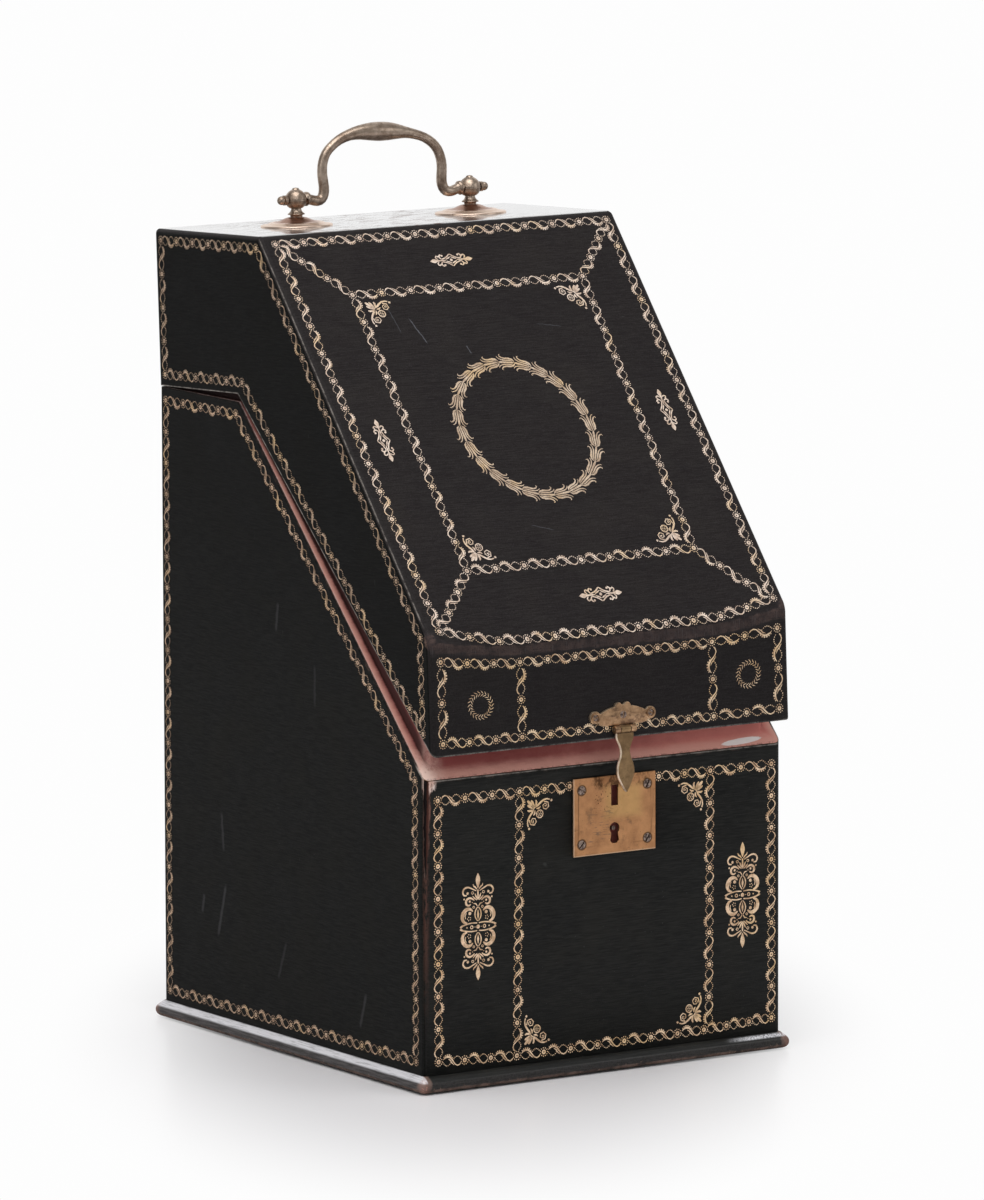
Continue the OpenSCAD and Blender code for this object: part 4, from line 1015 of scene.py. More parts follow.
fleuron = tool_of(
    (stroke, [(3.7, 4.2, 0.2), (2.9, 5.9, 0.5), (1.5, 7.6, 0.48), (0.45, 9.3, 0.4), (0.2, 11.0, 0.34),
              (0.6, 12.6, 0.3)], 1),
    (volute, 3.4, 10.1, 2.3, 200, -1, 0.3), (dot, 1.1, 13.5, 0.62, 6),
    (stroke, [(3.6, 4.0, 0.2), (2.5, 3.6, 0.6), (1.1, 2.9, 0.6), (0.2, 2.3, 0.3)], 1),
    (stroke, [(3.4, 4.6, 0.15), (2.3, 5.1, 0.5), (1.1, 5.2, 0.5), (0.2, 4.8, 0.25)], 1),
    (stroke, [(4.3, 5.1, 0.2), (4.3, 6.4, 0.5), (3.5, 7.5, 0.15)], 1), (mirrored, "diagonal"),
    (stroke, [(4.2, 4.2, 0.35), (2.6, 2.6, 0.6), (1.1, 1.1, 0.75), (0.2, 0.2, 0.35)], 1),
    (ring, 7.0, 7.0, 1.85, 0.26, 10), (dots_round, 7.0, 7.0, 1.0, 6, 0.34), (dot, 7.0, 7.0, 0.36, 6))
lozenge = tool_of(
    (stroke, [(0.1, 3.4, 0.24), (1.4, 2.3, 0.32), (3.0, 1.35, 0.32), (5.0, 0.75, 0.3)]),
    (stroke, [(0.1, 1.9, 0.15), (1.3, 1.2, 0.36), (2.9, 0.5, 0.2)], 1),
    (stroke, [(5.2, 0.7, 0.25), (6.0, 1.7, 0.34), (5.8, 2.8, 0.36), (4.9, 3.3, 0.3)]),
    (stroke, [(7.2, 0.7, 0.22), (8.0, 1.4, 0.32), (7.9, 2.4, 0.32), (7.1, 2.8, 0.26)]),
    (dot, 4.4, 2.7, 0.6, 6), (dot, 6.7, 2.3, 0.48, 6), (mirrored, "y"),
    (stroke, [(2.9, 0, 0.15), (4.4, 0, 0.34), (6.4, 0, 0.34), (8.0, 0, 0.6), (9.5, 0, 1.15), (10.7, 0, 0.8),
              (11.8, 0, 0.08)]), (mirrored, "x"), (dot, 0, 0, 0.8, 6))
arabesque_stem = (
    ([(18.2, 0.2), (20.2, 0.9), (21.9, 1.25), (23.6, 0.9), (25.2, 0.06)], 2),
    ([(12.6, 0.2), (14.6, 0.44), (17.4, 0.34)], 1), ([(3.6, 0.1), (5.8, 0.62), (8.0, 0.1)], 1))
arabesque = tool_of(
    (stroke, [(0.5, 17.6, 0.2), (1.5, 18.7, 0.38), (2.4, 19.3, 0.3), (2.7, 20.2, 0.12)], 1),
    (stroke, [(0.9, 16.9, 0.2), (3.0, 17.9, 0.3), (5.2, 18.9, 0.38), (7.3, 18.6, 0.44), (8.4, 17.0, 0.42),
              (7.7, 15.3, 0.38), (6.2, 15.2, 0.3)]),
    (dot, 5.7, 16.1, 0.7, 6), (ring, 3.0, 16.1, 0.6, 0.18, 7), (dot, 7.6, 13.5, 0.48, 5),
    (stroke, [(0.3, 13.0, 0.2), (1.1, 14.4, 0.42), (1.7, 15.8, 0.14)], 1),
    (stroke, [(0.6, 12.6, 0.2), (1.9, 13.5, 0.36), (2.9, 14.6, 0.14)], 1),
    (stroke, [(2.0, 12.4, 0.22), (3.2, 13.4, 0.4), (5.0, 13.8, 0.52), (6.5, 12.7, 0.58), (6.4, 10.9, 0.52),
              (5.0, 10.3, 0.4), (4.0, 10.9, 0.3)]),
    (dot, 4.5, 12.2, 0.6, 6), (dot, 3.1, 11.6, 0.32, 4),
    (stroke, [(0.3, 9.6, 0.2), (1.2, 10.9, 0.3), (2.5, 11.1, 0.18)], 1), (ring, 2.4, 9.3, 0.5, 0.18, 7),
    (stroke, [(2.9, 7.4, 0.3), (4.1, 8.5, 0.62), (6.2, 8.6, 0.9), (8.1, 7.0, 1.0), (8.7, 4.7, 0.9),
              (7.8, 2.8, 0.66), (6.0, 2.1, 0.36)]),
    (stroke, [(6.5, 6.9, 0.2), (7.2, 5.6, 0.26), (6.8, 4.2, 0.2)], 1),
    (dot, 4.5, 6.6, 0.85, 7), (dots_round, 4.9, 4.1, 0.85, 5, 0.32),
    (stroke, [(0.2, 9.3, 0.2), (1.3, 7.8, 0.3), (1.7, 6.0, 0.32), (1.3, 4.2, 0.3), (0.2, 2.7, 0.2)]),
    (stroke, [(0.5, 1.8, 0.28), (3.6, 2.0, 0.3), (7.0, 1.5, 0.32), (8.9, 0.9, 0.44), (9.8, 0.25, 0.6)]),
    (mirrored, "y"), (ring, 3.5, 0, 0.72, 0.24, 8), (dot, 6.1, 0, 0.45, 5), (dot, 1.7, 0, 0.3, 4),
    (mirrored, "x"),
    *[(stroke, [(0, way * y, half) for y, half in points], steps) for way in (1, -1)
      for points, steps in arabesque_stem],
    (dot, 0, 0, 1.0, 8))


def face_of(origin, across, up):
    """The frame of a face of the case: its origin and the directions of its width and height."""
    across, up = Vector(across), Vector(up)
    out = across.cross(up)
    place = Matrix((across, up, out)).transposed().to_4x4()
    place.translation = Vector(origin) + out * leaf_lift
    return place


faces = {
    "front": face_of((0, y_front, 0), (1, 0, 0), (0, 0, 1)),
    "back": face_of((0, y_back, 0), (-1, 0, 0), (0, 0, 1)),
    "left": face_of((-half_w, 0, 0), (0, -1, 0), (0, 0, 1)),
    "right": face_of((half_w, 0, 0), (0, 1, 0), (0, 0, 1)),
    "slope": face_of((0, slope_top_y, lid_top), (1, 0, 0), slope_up)}


def stamp(leaf, tool, face, x, y, turn=0.0, flip=(1, 1)):
    """Presses a stamp at a place on a face, turned by degrees."""
    start, first = len(leaf.verts), len(leaf.faces)
    leaf.from_mesh(tool)
    leaf.verts.ensure_lookup_table()
    leaf.faces.ensure_lookup_table()
    place = (faces[face] @ Matrix.Translation((x, y, 0)) @ Matrix.Rotation(math.radians(turn), 4, "Z")
             @ Matrix.Diagonal((flip[0], flip[1], 1, 1)))
    bmesh.ops.transform(leaf, matrix=place, verts=leaf.verts[start:])
    if flip[0] * flip[1] < 0:
        bmesh.ops.reverse_faces(leaf, faces=leaf.faces[first:])


def roll(leaf, face, points, closed=False, first=True, last=True):
    """Rolls the border along a line of points, with whole repeats between them and its leaves on the left."""
    points = [Vector(p) for p in points]
    for leg, (start, end) in enumerate(zip(points, points[1:] + (points[:1] if closed else []))):
        way = end - start
        count = max(1, round(way.length / repeat))
        turn = math.degrees(math.atan2(way.y, way.x))
        for k in range(count):
            x, y = start + way * k / count
            if k or leg or first:
                stamp(leaf, rosette, face, x, y, turn)
            stamp(leaf, weave, face, x, y, turn, (way.length / count / repeat, 1))
    if last and not closed:
        stamp(leaf, rosette, face, *points[-1])


def turned_over(points):
    """The same outline on the opposite side of the case."""
    return [(-x, y) for x, y in reversed(points)]


def bordered(name, face, points, gold, body):
    """The gilding of a face that has only a border."""
    leaf = bmesh.new()
    roll(leaf, face, points, closed=True)
    settle(name, leaf, gold, body, "brass")


def wreath(leaf, tool, face, x, y, radii, count):
    """A ring of stamps that follow it."""
    for k in range(count):
        angle = 2 * math.pi * k / count
        stamp(leaf, tool, face, x + radii[0] * math.cos(angle), y + radii[1] * math.sin(angle),
              math.degrees(angle) + 90)


# Gilding of the case: borders round each face, two more that part the front in three, an upright
# arabesque in each narrow panel, and fleurons in the corners of the middle one.
front_gold = gold_finish("gold_of_front", (0.95, 0.72, 0.5), (0.58, 0.38, 0.23))
side_gold = gold_finish("gold_of_sides", (0.72, 0.52, 0.36), (0.4, 0.26, 0.165))
front_x = (-92.5, -47.4, 59.6, 94.4)
front_top = 137.0
front_foot = ((-92.5, 14.6), (-49.2, 12.9), (56.0, 13.8), (94.6, 15.5))
plate_sides = (-19.5, 30.5)
arabesque_x, arabesque_z = (-70.5, 78.0), 76
fleuron_x = (front_x[1] + 4.2, front_x[2] - 4.2)
fleuron_feet = ((front_foot[1][0] + 4.2, 17.4), (54.6, 17.8))

leaf = bmesh.new()
roll(leaf, "front", [(plate_sides[0], front_top), (front_x[1], front_top), (front_x[0], front_top),
                     *front_foot, (front_x[3], front_top), (front_x[2], front_top),
                     (plate_sides[1], front_top)])
roll(leaf, "front", [(front_x[1], front_top), front_foot[1]], first=False, last=False)
roll(leaf, "front", [(58.8, front_foot[2][1]), (front_x[2], front_top)], first=False, last=False)
for x in arabesque_x:
    stamp(leaf, arabesque, "front", x, arabesque_z)
for x, foot, flip in zip(fleuron_x, fleuron_feet, (1, -1)):
    stamp(leaf, fleuron, "front", x, front_top - 4.4, 0, (flip, -1))
    stamp(leaf, fleuron, "front", *foot, 0, (flip, 1))
settle("front_gilding", leaf, front_gold, "case", "brass")

case_side = [(-110.0, 14.0), (108.5, 14.5), (108.5, 146.0), (102.0, 152.8), (-46.6, 299.8), (-110.0, 299.5)]
bordered("left_gilding", "left", case_side, side_gold, "case")
bordered("right_gilding", "right", turned_over(case_side), side_gold, "case")
bordered("back_gilding", "back", [(-93, 15), (93, 15), (93, 286), (-93, 286)], side_gold, "case")


# Gilding of the lid: mitred borders round a square on the slope, with a wreath of bellflowers, four
# small lozenges and four fleurons; borders and two laurel rings on the apron; borders on the sides.
slope_gold = gold_finish("gold_of_slope", (0.98, 0.82, 0.69), (0.66, 0.5, 0.39), on_lid=True)
wreath_gold = gold_finish("gold_of_wreath", (0.78, 0.62, 0.47), (0.52, 0.38, 0.27), on_lid=True)
apron_gold = gold_finish("gold_of_apron", (0.9, 0.71, 0.5), (0.55, 0.37, 0.23), on_lid=True)
lid_side_gold = gold_finish("gold_of_lid_sides", (0.66, 0.49, 0.35), (0.37, 0.25, 0.165), on_lid=True)

leaf = bmesh.new()
outer = [(-92.3, -5.0), (-92.3, -222.0), (94.0, -222.0), (94.0, -5.0)]
inner = [(-62.6, -36.2), (-64.1, -190.8), (63.0, -190.3), (67.1, -35.7)]
roll(leaf, "slope", [*outer[:2], (-61.3, -226.0), (63.0, -225.0), *outer[2:]], closed=True)
roll(leaf, "slope", inner, closed=True)
for far, close in zip(outer, inner):
    roll(leaf, "slope", [far, close], first=False, last=False)
for x, y, turn in ((-1, -21, 0), (-79, -117.3, 90), (81, -114.1, 90), (2.6, -208.4, 0)):
    stamp(leaf, lozenge, "slope", x, y, turn)
for (x, y), (flip_x, flip_y) in zip(inner, ((1, -1), (1, 1), (-1, 1), (-1, -1))):
    stamp(leaf, fleuron, "slope", x + flip_x * 4.6, y + flip_y * 4.6, 0, (flip_x, flip_y))
sag(leaf.verts)
settle("slope_gilding", leaf, slope_gold, "lid", "brass")

leaf = bmesh.new()
wreath(leaf, bellflower, "slope", 0.4, -117.4, (35.4, 37.4), 26)
settle("wreath_gilding", leaf, wreath_gold, "lid", "brass")

leaf = bmesh.new()
apron_x = (-94.0, -50.5, 56.7, 94.0)
apron_z = (152.8, 190.8)
barrel_sides = (-3.5, 13.5)
roll(leaf, "front", [(barrel_sides[1], apron_z[0]), *[(x, apron_z[0]) for x in apron_x[2:]],
                     *[(x, apron_z[1]) for x in reversed(apron_x)], *[(x, apron_z[0]) for x in apron_x[:2]],
                     (barrel_sides[0], apron_z[0])])
roll(leaf, "front", [(apron_x[1], apron_z[1]), (apron_x[1], apron_z[0])], first=False, last=False)
roll(leaf, "front", [(apron_x[2], apron_z[0]), (apron_x[2], apron_z[1])], first=False, last=False)
for x, z in ((-72.8, 170.3), (76.9, 171.6)):
    wreath(leaf, laurel, "front", x, z, (5.8, 5.8), 22)
sag(leaf.verts)
settle("apron_gilding", leaf, apron_gold, "lid", "brass")

lid_side = [(108.5, 157.5), (108.5, 202.0), (-24.2, 375.5), (-110.0, 375.5), (-110.0, 311.5), (-40.5, 311.5)]
bordered("lid_left_gilding", "left", lid_side, lid_side_gold, "lid")
bordered("lid_right_gilding", "right", turned_over(lid_side), lid_side_gold, "lid")
bordered("lid_back_gilding", "back", [(-93, 323), (93, 323), (93, 374), (-93, 374)], lid_side_gold, "lid")


# Lock: a square brass plate let in flush over the leather and held by four iron screws, with a slot
# for the staple and a keyhole; behind it the iron case, the key's pin, the bolt and its spring.
def brass_finish(name, pale, dark, stain, spot=0.5, on_lid=False, coarse=9.0, gloss=0.3, marks=None):
    """Old brass: pale and brown in clouds, with stains and specks, scratched along one way."""
    brass = Finish(name, on_lid, {"Metallic": 1.0})
    cloud = brass.noise(coarse, detail=5, roughness=0.65)
    speck = brass.noise(1.1, detail=2, shift=6)
    patch = brass.noise(coarse * 0.6, detail=4, roughness=0.7, shift=12)
    scratch = brass.noise(0.5, (16, 1, 1.2), detail=2, shift=19)
    colour = brass.coats(brass.mix(cloud.fade(0.3, 0.7), pale, dark), (patch.fade(0.56, 0.74) * 0.6, stain),
                         (speck.fade(0.7, 0.78) * spot, (0.03, 0.015, 0.01)))
    if marks:
        colour = marks(brass, colour)
    brass.wear(colour=colour, roughness=gloss + cloud * 0.2 + scratch * 0.1 + patch.fade(0.5, 0.7) * 0.15,
               height=scratch + patch, depth=0.04)
    return brass


def soften(node, width, angle=40):
    """Joins the loose triangles of a carried-over node and rounds its sharp edges."""
    joined = node.modifiers.new("joined", "WELD")
    joined.merge_threshold = 0.000002
    rounding = node.modifiers.new("rounding", "BEVEL")
    rounding.width = width / 1000
    rounding.segments = 2
    rounding.limit_method = "ANGLE"
    rounding.angle_limit = math.radians(angle)
    rounding.harden_normals = True


plate_x, plate_z = (plate_low.x + plate_high.x) / 2, (plate_low.z + plate_high.z) / 2
plate_half_x, plate_half_z = (plate_high.x - plate_low.x) / 2, (plate_high.z - plate_low.z) / 2
screw_in_x, screw_in_z = 4.6, 5.6


def plate_marks_and_painted_light(brass, colour):
    """Burnt under the hasp, pitted left of the slot, scored beside the keyhole; a painted highlight right of
    the middle and along its left and lower edges, and painted shade in a ring round each screw.
    """
    fleck = brass.noise(1.0, detail=1, shift=41)
    smear = brass.noise(5.0, (1, 1, 1.6), detail=4, roughness=0.7, shift=44)
    score = brass.noise(1.3, (5, 1, 0.7), detail=3, roughness=0.7, shift=47)
    x, z = brass.x - plate_x, brass.z - plate_z

    def around(at_x, at_z, half_x, half_z):
        return 1 - (abs(x - at_x) / half_x).most(abs(z - at_z) / half_z).fade(0.55, 1.1)

    at_screw = distance(abs(x) - (plate_half_x - screw_in_x), abs(z) - (plate_half_z - screw_in_z))
    edge = (0 - x - (plate_half_x - 0.5)).most(0 - z - (plate_half_z - 0.5)).fade(-0.1, 0.2)
    return brass.coats(
        # Painted highlight right of the middle of the plate.
        colour, (around(5, 6, 12, 9) * 0.5, (0.66, 0.43, 0.17)),
        (around(3, 17, 20, 5) * smear.fade(0.42, 0.62) * 0.85, (0.05, 0.022, 0.012)),
        (around(-6, 7, 6, 6) * fleck.fade(0.62, 0.68), (0.03, 0.012, 0.008)),
        (around(-8, -5, 8, 9) * score.fade(0.52, 0.66) * 0.8, (0.12, 0.1, 0.085)),
        (around(9, -3, 8, 5) * score.fade(0.58, 0.7) * 0.6, (0.12, 0.1, 0.085)),
        # Painted shade round each screw head; painted highlight along the left and lower edges.
        ((1 - at_screw.fade(2.3, 3.0)) * 0.85, (0.06, 0.035, 0.02)), (edge * 0.7, (0.75, 0.55, 0.38)))


plate_brass = brass_finish("lock_plate_brass", (0.6, 0.31, 0.145), (0.45, 0.225, 0.105), (0.26, 0.16, 0.095),
                           marks=plate_marks_and_painted_light)
iron = Finish("screw_iron", constants={"Metallic": 1.0})
iron_cloud = iron.noise(1.2, detail=3)
iron.wear(colour=iron.mix(iron_cloud.fade(0.35, 0.65), (0.1, 0.07, 0.06), (0.4, 0.31, 0.26)),
          roughness=0.32 + iron_cloud * 0.3, height=iron_cloud, depth=0.05)
dress(plate_brass, "lock_plate", "lock_bolt")
dress(iron, "lock_case", "key_pin", "lock_spring", "hasp_pin")
soften(frame["nodes"]["lock_plate"], 0.2)


def join(shape, part):
    """Adds a part to a shape."""
    mesh = bpy.data.meshes.new("part")
    part.to_mesh(mesh)
    part.free()
    shape.from_mesh(mesh)
    bpy.data.meshes.remove(mesh)


def turned(profile, place, steps=24):
    """A round part, spun about the upright axis of a place from its outline of radius and height."""
    part = bmesh.new()
    verts = [part.verts.new((r, 0, h)) for r, h in profile]
    edges = [part.edges.new(pair) for pair in zip(verts, verts[1:])]
    bmesh.ops.spin(part, geom=verts + edges, cent=(0, 0, 0), axis=(0, 0, 1), angle=2 * math.pi, steps=steps,
                   use_merge=True)
    bmesh.ops.remove_doubles(part, verts=part.verts, dist=0.001)
    bmesh.ops.recalc_face_normals(part, faces=part.faces)
    bmesh.ops.transform(part, matrix=place, verts=part.verts)
    return part


shank_r, screw_l = 0.85, 4.0
slot_half, slot_d = 0.34, 0.7


def slotted_screw(shape, x, y, z, radius, turn):
    """A wood screw with a slightly domed, slotted head, driven in along +Y."""
    head = turned([(0, 0.3), (radius * 0.55, 0.25), (radius * 0.85, 0.12), (radius, -0.06), (radius, -0.2),
                   (shank_r, -1.1), (shank_r, -screw_l), (0, -screw_l)], Matrix())
    head.normal_update()
    for side in (-1, 1):
        cut(head, all_of(head), (0, side * slot_half, 0), (0, 1, 0))
    slot = [f for f in head.faces if f.normal.z > 0.5 and abs(f.calc_center_median().y) < slot_half - 0.01]
    push(head, slot, (0, 0, -slot_d))
    bmesh.ops.delete(head, geom=slot, context="FACES")
    place = (Matrix.Translation((x, y, z)) @ Matrix.Rotation(math.radians(90), 4, "X")
             @ Matrix.Rotation(math.radians(turn), 4, "Z"))
    bmesh.ops.transform(head, matrix=place, verts=head.verts)
    join(shape, head)


plate_screws = bmesh.new()
for (side_x, side_z), turn in zip(((-1, 1), (1, 1), (-1, -1), (1, -1)), (-28, 62, 48, 60)):
    slotted_screw(plate_screws, plate_x + side_x * (plate_half_x - screw_in_x), plate_low.y,
                  plate_z + side_z * (plate_half_z - screw_in_z), 2.15, turn)
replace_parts(settle("lock_plate_screws_slotted", plate_screws, iron, "case", "steel", crease=30),
            "lock_plate_screws")


# Hinges of the lid: two brass butt hinges screwed through the leather to the boards of the back, each
# of two leaves on a pin.
hinge_brass = brass_finish("hinge_brass", (0.36, 0.22, 0.1), (0.2, 0.12, 0.055), (0.08, 0.055, 0.035))
hinge_leaves = [f"{part}_hinge_leaf_{side}" for part in ("case", "lid") for side in ("left", "right")]
dress(hinge_brass, *hinge_leaves, "hinge_pins", "case_hinge_screws", "lid_hinge_screws")
for hinge in hinge_leaves:
    soften(frame["nodes"][hinge], 0.15, 60)


# Hasp: a crescent plate screwed to the apron, its ends coiled into eyes, and a leaf on a pin whose
# staple enters the lock. Both are sawn from sheet brass and filed to a bevel; their bright edges are painted
# highlights.
latch_x = 5.0
barrel_l, knuckle_r, pin_r = 11.8, 1.9, 0.75
hasp_plate_t, hasp_leaf_t = 1.4, 1.5
hasp_y, hasp_z = y_front - 2.2, 151.37
hasp_plate_z = hasp_z + knuckle_r
leaf_back = y_front - hasp_plate_t
leaf_bevel = 0.65
ear_x, ear_z = 15.4, 4.4


def hasp_patches_and_painted_rim(brass, colour):
    """Its rim is painted bright, a painted highlight; its face is brown in patches."""
    patch = brass.noise(3.4, (1.6, 1, 1), detail=4, roughness=0.7, shift=93).fade(0.46, 0.62)
    return brass.coats(colour, (patch * 0.75, (0.14, 0.085, 0.055)),
                       # Painted highlight along the rim.
                       ((brass.y - leaf_back).fade(0.04, 0.2) * 0.8, (0.86, 0.68, 0.48)))


def leaf_edge_painted_highlight(brass, colour):
    """A painted highlight on the left of the leaf's filed bevel, broken up in streaks."""
    glint_noise = brass.noise(1.4, (1, 1, 4), detail=4, roughness=0.7, shift=91)
    left = 1 - (brass.x - latch_x).fade(-0.6, 0.2)
    filed = (brass.y - (leaf_back - hasp_leaf_t)).fade(0.1, 0.3)
    # Painted highlight on the left bevel.
    return brass.mix(filed * left * (0.35 + glint_noise.fade(0.3, 0.6) * 0.65), colour, (0.85, 0.7, 0.54))


hasp_brass = brass_finish("hasp_brass", (0.6, 0.38, 0.22), (0.32, 0.19, 0.105), (0.16, 0.1, 0.055),
                          on_lid=True, coarse=5.0, gloss=0.22, marks=hasp_patches_and_painted_rim)
leaf_brass = brass_finish("hasp_leaf_brass", (0.36, 0.235, 0.12), (0.2, 0.125, 0.065), (0.11, 0.075, 0.04),
                          on_lid=True, coarse=6.0, gloss=0.22, marks=leaf_edge_painted_highlight)


def arc(x, z, radius, start, end, steps):
    """Points on a round stretch of an outline, from one angle to another in degrees."""
    angles = [math.radians(start + (end - start) * k / steps) for k in range(steps + 1)]
    return [(x + radius * math.cos(a), z + radius * math.sin(a)) for a in angles]


def sawn(outline, x, y, z, thickness, bevel):
    """A piece sawn from sheet along an outline, lying against y, with its front edge filed off."""
    shape = bmesh.new()
    back = shape.faces.new([shape.verts.new((x + px, y, z + pz)) for px, pz in outline])
    moved = push(shape, [back], (0, -thickness, 0))
    bmesh.ops.recalc_face_normals(shape, faces=shape.faces)
    round_off(shape, [e for e in shape.edges if all(v in moved for v in e.verts) and len(e.link_faces) == 2],
              bevel, 2)
    return shape


def knuckle(shape, start, length):
    """A stretch of the hinge's barrel, bored for its pin, its ends rounded off."""
    outline = [(pin_r, 0), (knuckle_r - 0.25, 0), (knuckle_r, 0.25), (knuckle_r, length - 0.25),
               (knuckle_r - 0.25, length), (pin_r, length), (pin_r, 0)]
    place = Matrix.Translation((latch_x + start, hasp_y, hasp_z)) @ Matrix.Rotation(math.radians(90), 4, "Y")
    join(shape, turned(outline, place, 20))


right_half = [(0, 0), (10.5, 0), (13.2, 0.5), *arc(ear_x, ear_z, 3.0, -122, 148, 12), (12.2, 6.2),
              (10.6, 7.0), (8.2, 7.9), (6.0, 8.5), (4.75, 8.6), *arc(2.45, 8.5, 2.1, -5, 150, 7), (0, 9.4)]
hasp_outline = right_half + [(-x, z) for x, z in reversed(right_half[1:-1])]
hasp = sawn(hasp_outline, latch_x, y_front - 0.02, hasp_plate_z, hasp_plate_t, 0.45)
for side in (-1, 1):
    place = (Matrix.Translation((latch_x + side * ear_x, leaf_back, hasp_plate_z + ear_z))
             @ Matrix.Rotation(math.radians(90), 4, "X"))
    join(hasp, turned(arc(1.95, 0.1, 0.42, 0, 360, 8), place))
    knuckle(hasp, side * (barrel_l * 3 / 8) - barrel_l / 8, barrel_l / 4)
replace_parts(settle("hasp_plate_sawn", hasp, hasp_brass, "lid", "brass", crease=30), "hasp_plate")

hasp_screws = bmesh.new()
for x, z, turn, radius in ((-ear_x, ear_z, 20, 1.6), (0, 4.7, 78, 1.9), (ear_x, ear_z, -35, 1.6)):
    slotted_screw(hasp_screws, latch_x + x, leaf_back, hasp_plate_z + z, radius, turn)
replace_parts(settle("hasp_plate_screws_slotted", hasp_screws, iron, "lid", "steel", crease=30),
            "hasp_plate_screws")

leaf_side = [(1.95, 5.0), (3.2, 5.1), (5.0, 4.7), (7.0, 3.7), (9.2, 2.9), (11.2, 2.75), (13.5, 3.25),
             (16.0, 4.25), (18.3, 4.9), (20.5, 4.95), (22.8, 4.35), (25.2, 3.15), (27.4, 1.95),
             (28.9, 1.0), (29.5, 0.4)]
leaf_rows = len(leaf_side) - 1
hasp_leaf = bmesh.new()
bmesh.ops.create_grid(hasp_leaf, x_segments=6, y_segments=leaf_rows, size=1)
for vert in hasp_leaf.verts:
    down, half = leaf_side[round((1 - vert.co.y) / 2 * leaf_rows)]
    flat = max(half - leaf_bevel, 0.05)
    section = [(-half, 0), (-half, -0.6), (-flat, -hasp_leaf_t), (flat, -hasp_leaf_t), (half, -0.6),
               (half, 0), (-half, 0)]
    across, out = section[round((vert.co.x + 1) * 3)]
    vert.co = (latch_x + across, leaf_back + out, hasp_z - down)
bmesh.ops.remove_doubles(hasp_leaf, verts=hasp_leaf.verts, dist=0.001)
bmesh.ops.holes_fill(hasp_leaf, edges=hasp_leaf.edges)
bmesh.ops.recalc_face_normals(hasp_leaf, faces=hasp_leaf.faces)
knuckle(hasp_leaf, 0.3 - barrel_l / 4, barrel_l / 2 - 0.6)

staple_t, staple_half, staple_eye_r = 1.8, 1.95, 0.95
staple_z, staple_eye_y = hasp_z - 23, y_front + 1.0
staple_low, staple_high = (leaf_back - 0.1, staple_z - staple_half), (y_front + 2.6, staple_z + staple_half)
staple_x = latch_x - staple_t / 2
staple = bmesh.new()
eye, outside = [], []
for k in range(16):
    way = Vector((math.cos(math.pi * k / 8), math.sin(math.pi * k / 8)))
    reach = min(((high if part > 0 else low) - at) / part for part, low, high, at in
                zip(way, staple_low, staple_high, (staple_eye_y, staple_z)) if abs(part) > 0.001)
    for points, far in ((eye, staple_eye_r), (outside, reach)):
        points.append(staple.verts.new((staple_x, staple_eye_y + far * way.x, staple_z + far * way.y)))
side = [staple.faces.new((eye[k - 1], outside[k - 1], outside[k], eye[k])) for k in range(16)]
push(staple, side, (staple_t, 0, 0))
bmesh.ops.recalc_face_normals(staple, faces=staple.faces)
join(hasp_leaf, staple)
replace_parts(settle("hasp_leaf_filed", hasp_leaf, leaf_brass, "hasp", "brass", crease=20), "hasp_leaf")


# Handle: a cast bronze bail that turns on two ball-topped posts; each post stands on a spun brass
# rosette and is held by a nut inside the lid.
handle_y = y_back - lid_top_d / 2
post_x, post_h = 49.2, 12.4
axis_z = lid_top + post_h


def rosette_marks(brass, colour):
    """Its flat edge is pale, partly rubbed brass and partly a painted highlight; its raised middle is left
    coppery.
    """
    radius = distance(abs(brass.x) - post_x, brass.y - handle_y)
    return brass.coats(colour, ((1 - radius.fade(9.5, 11.0)) * 0.6, (0.3, 0.16, 0.11)),
                       # Pale flat edge: partly rubbed brass, partly a painted highlight.
                       (radius.fade(10.6, 11.6), (0.8, 0.62, 0.5)))


copper = brass_finish("rosette_brass", (0.62, 0.37, 0.26), (0.46, 0.25, 0.17), (0.24, 0.12, 0.08),
                      on_lid=True, spot=0.2, gloss=0.16, marks=rosette_marks)
bronze = brass_finish("handle_bronze", (0.56, 0.45, 0.36), (0.27, 0.195, 0.145), (0.14, 0.095, 0.07),
                      on_lid=True, coarse=5.0, gloss=0.2)
rosette_profile = [(1.97, 0), (17.2, 0), (17.2, 0.45), (16.8, 0.75), (15.2, 0.85), (13.9, 1.0),
                   (13.3, 1.5), (12.4, 1.85), (11.4, 1.9), (10.9, 1.8), (9.4, 2.1), (7.6, 2.7),
                   (6.0, 3.45), (4.8, 3.9), (3.6, 4.15), (1.97, 4.2)]
post_profile = [(0, 4.2), (2.9, 4.2), (2.95, 5.0), (3.1, 5.2), (4.0, 5.35), (4.15, 5.6), (3.9, 5.9),
                (3.3, 6.3), (2.75, 7.0), (2.45, 7.9), (2.4, 8.2), (3.3, 8.6), (4.25, 9.4), (4.9, 10.6),
                (5.1, 11.7), (5.2, 11.9), (5.2, 12.2), (5.1, 12.4), (5.2, 12.6), (5.2, 12.9), (5.1, 13.1),
                (4.85, 14.2), (4.2, 15.4), (3.2, 16.4), (2.1, 17.1), (1.7, 17.3), (1.65, 17.6),
                (1.2, 18.0), (0, 18.2)]
for side, sign in (("left", -1), ("right", 1)):
    place = Matrix.Translation((sign * post_x, handle_y, lid_top))
    for part, how, profile, finish, slot in (("rosette", "spun", rosette_profile, copper, "brass"),
                                             ("post", "turned", post_profile, bronze, "bronze")):
        piece = settle(f"{part}_{side}_{how}", turned(profile, place, 40), finish, "lid", slot, crease=60)
        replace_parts(piece, f"{part}_{side}")

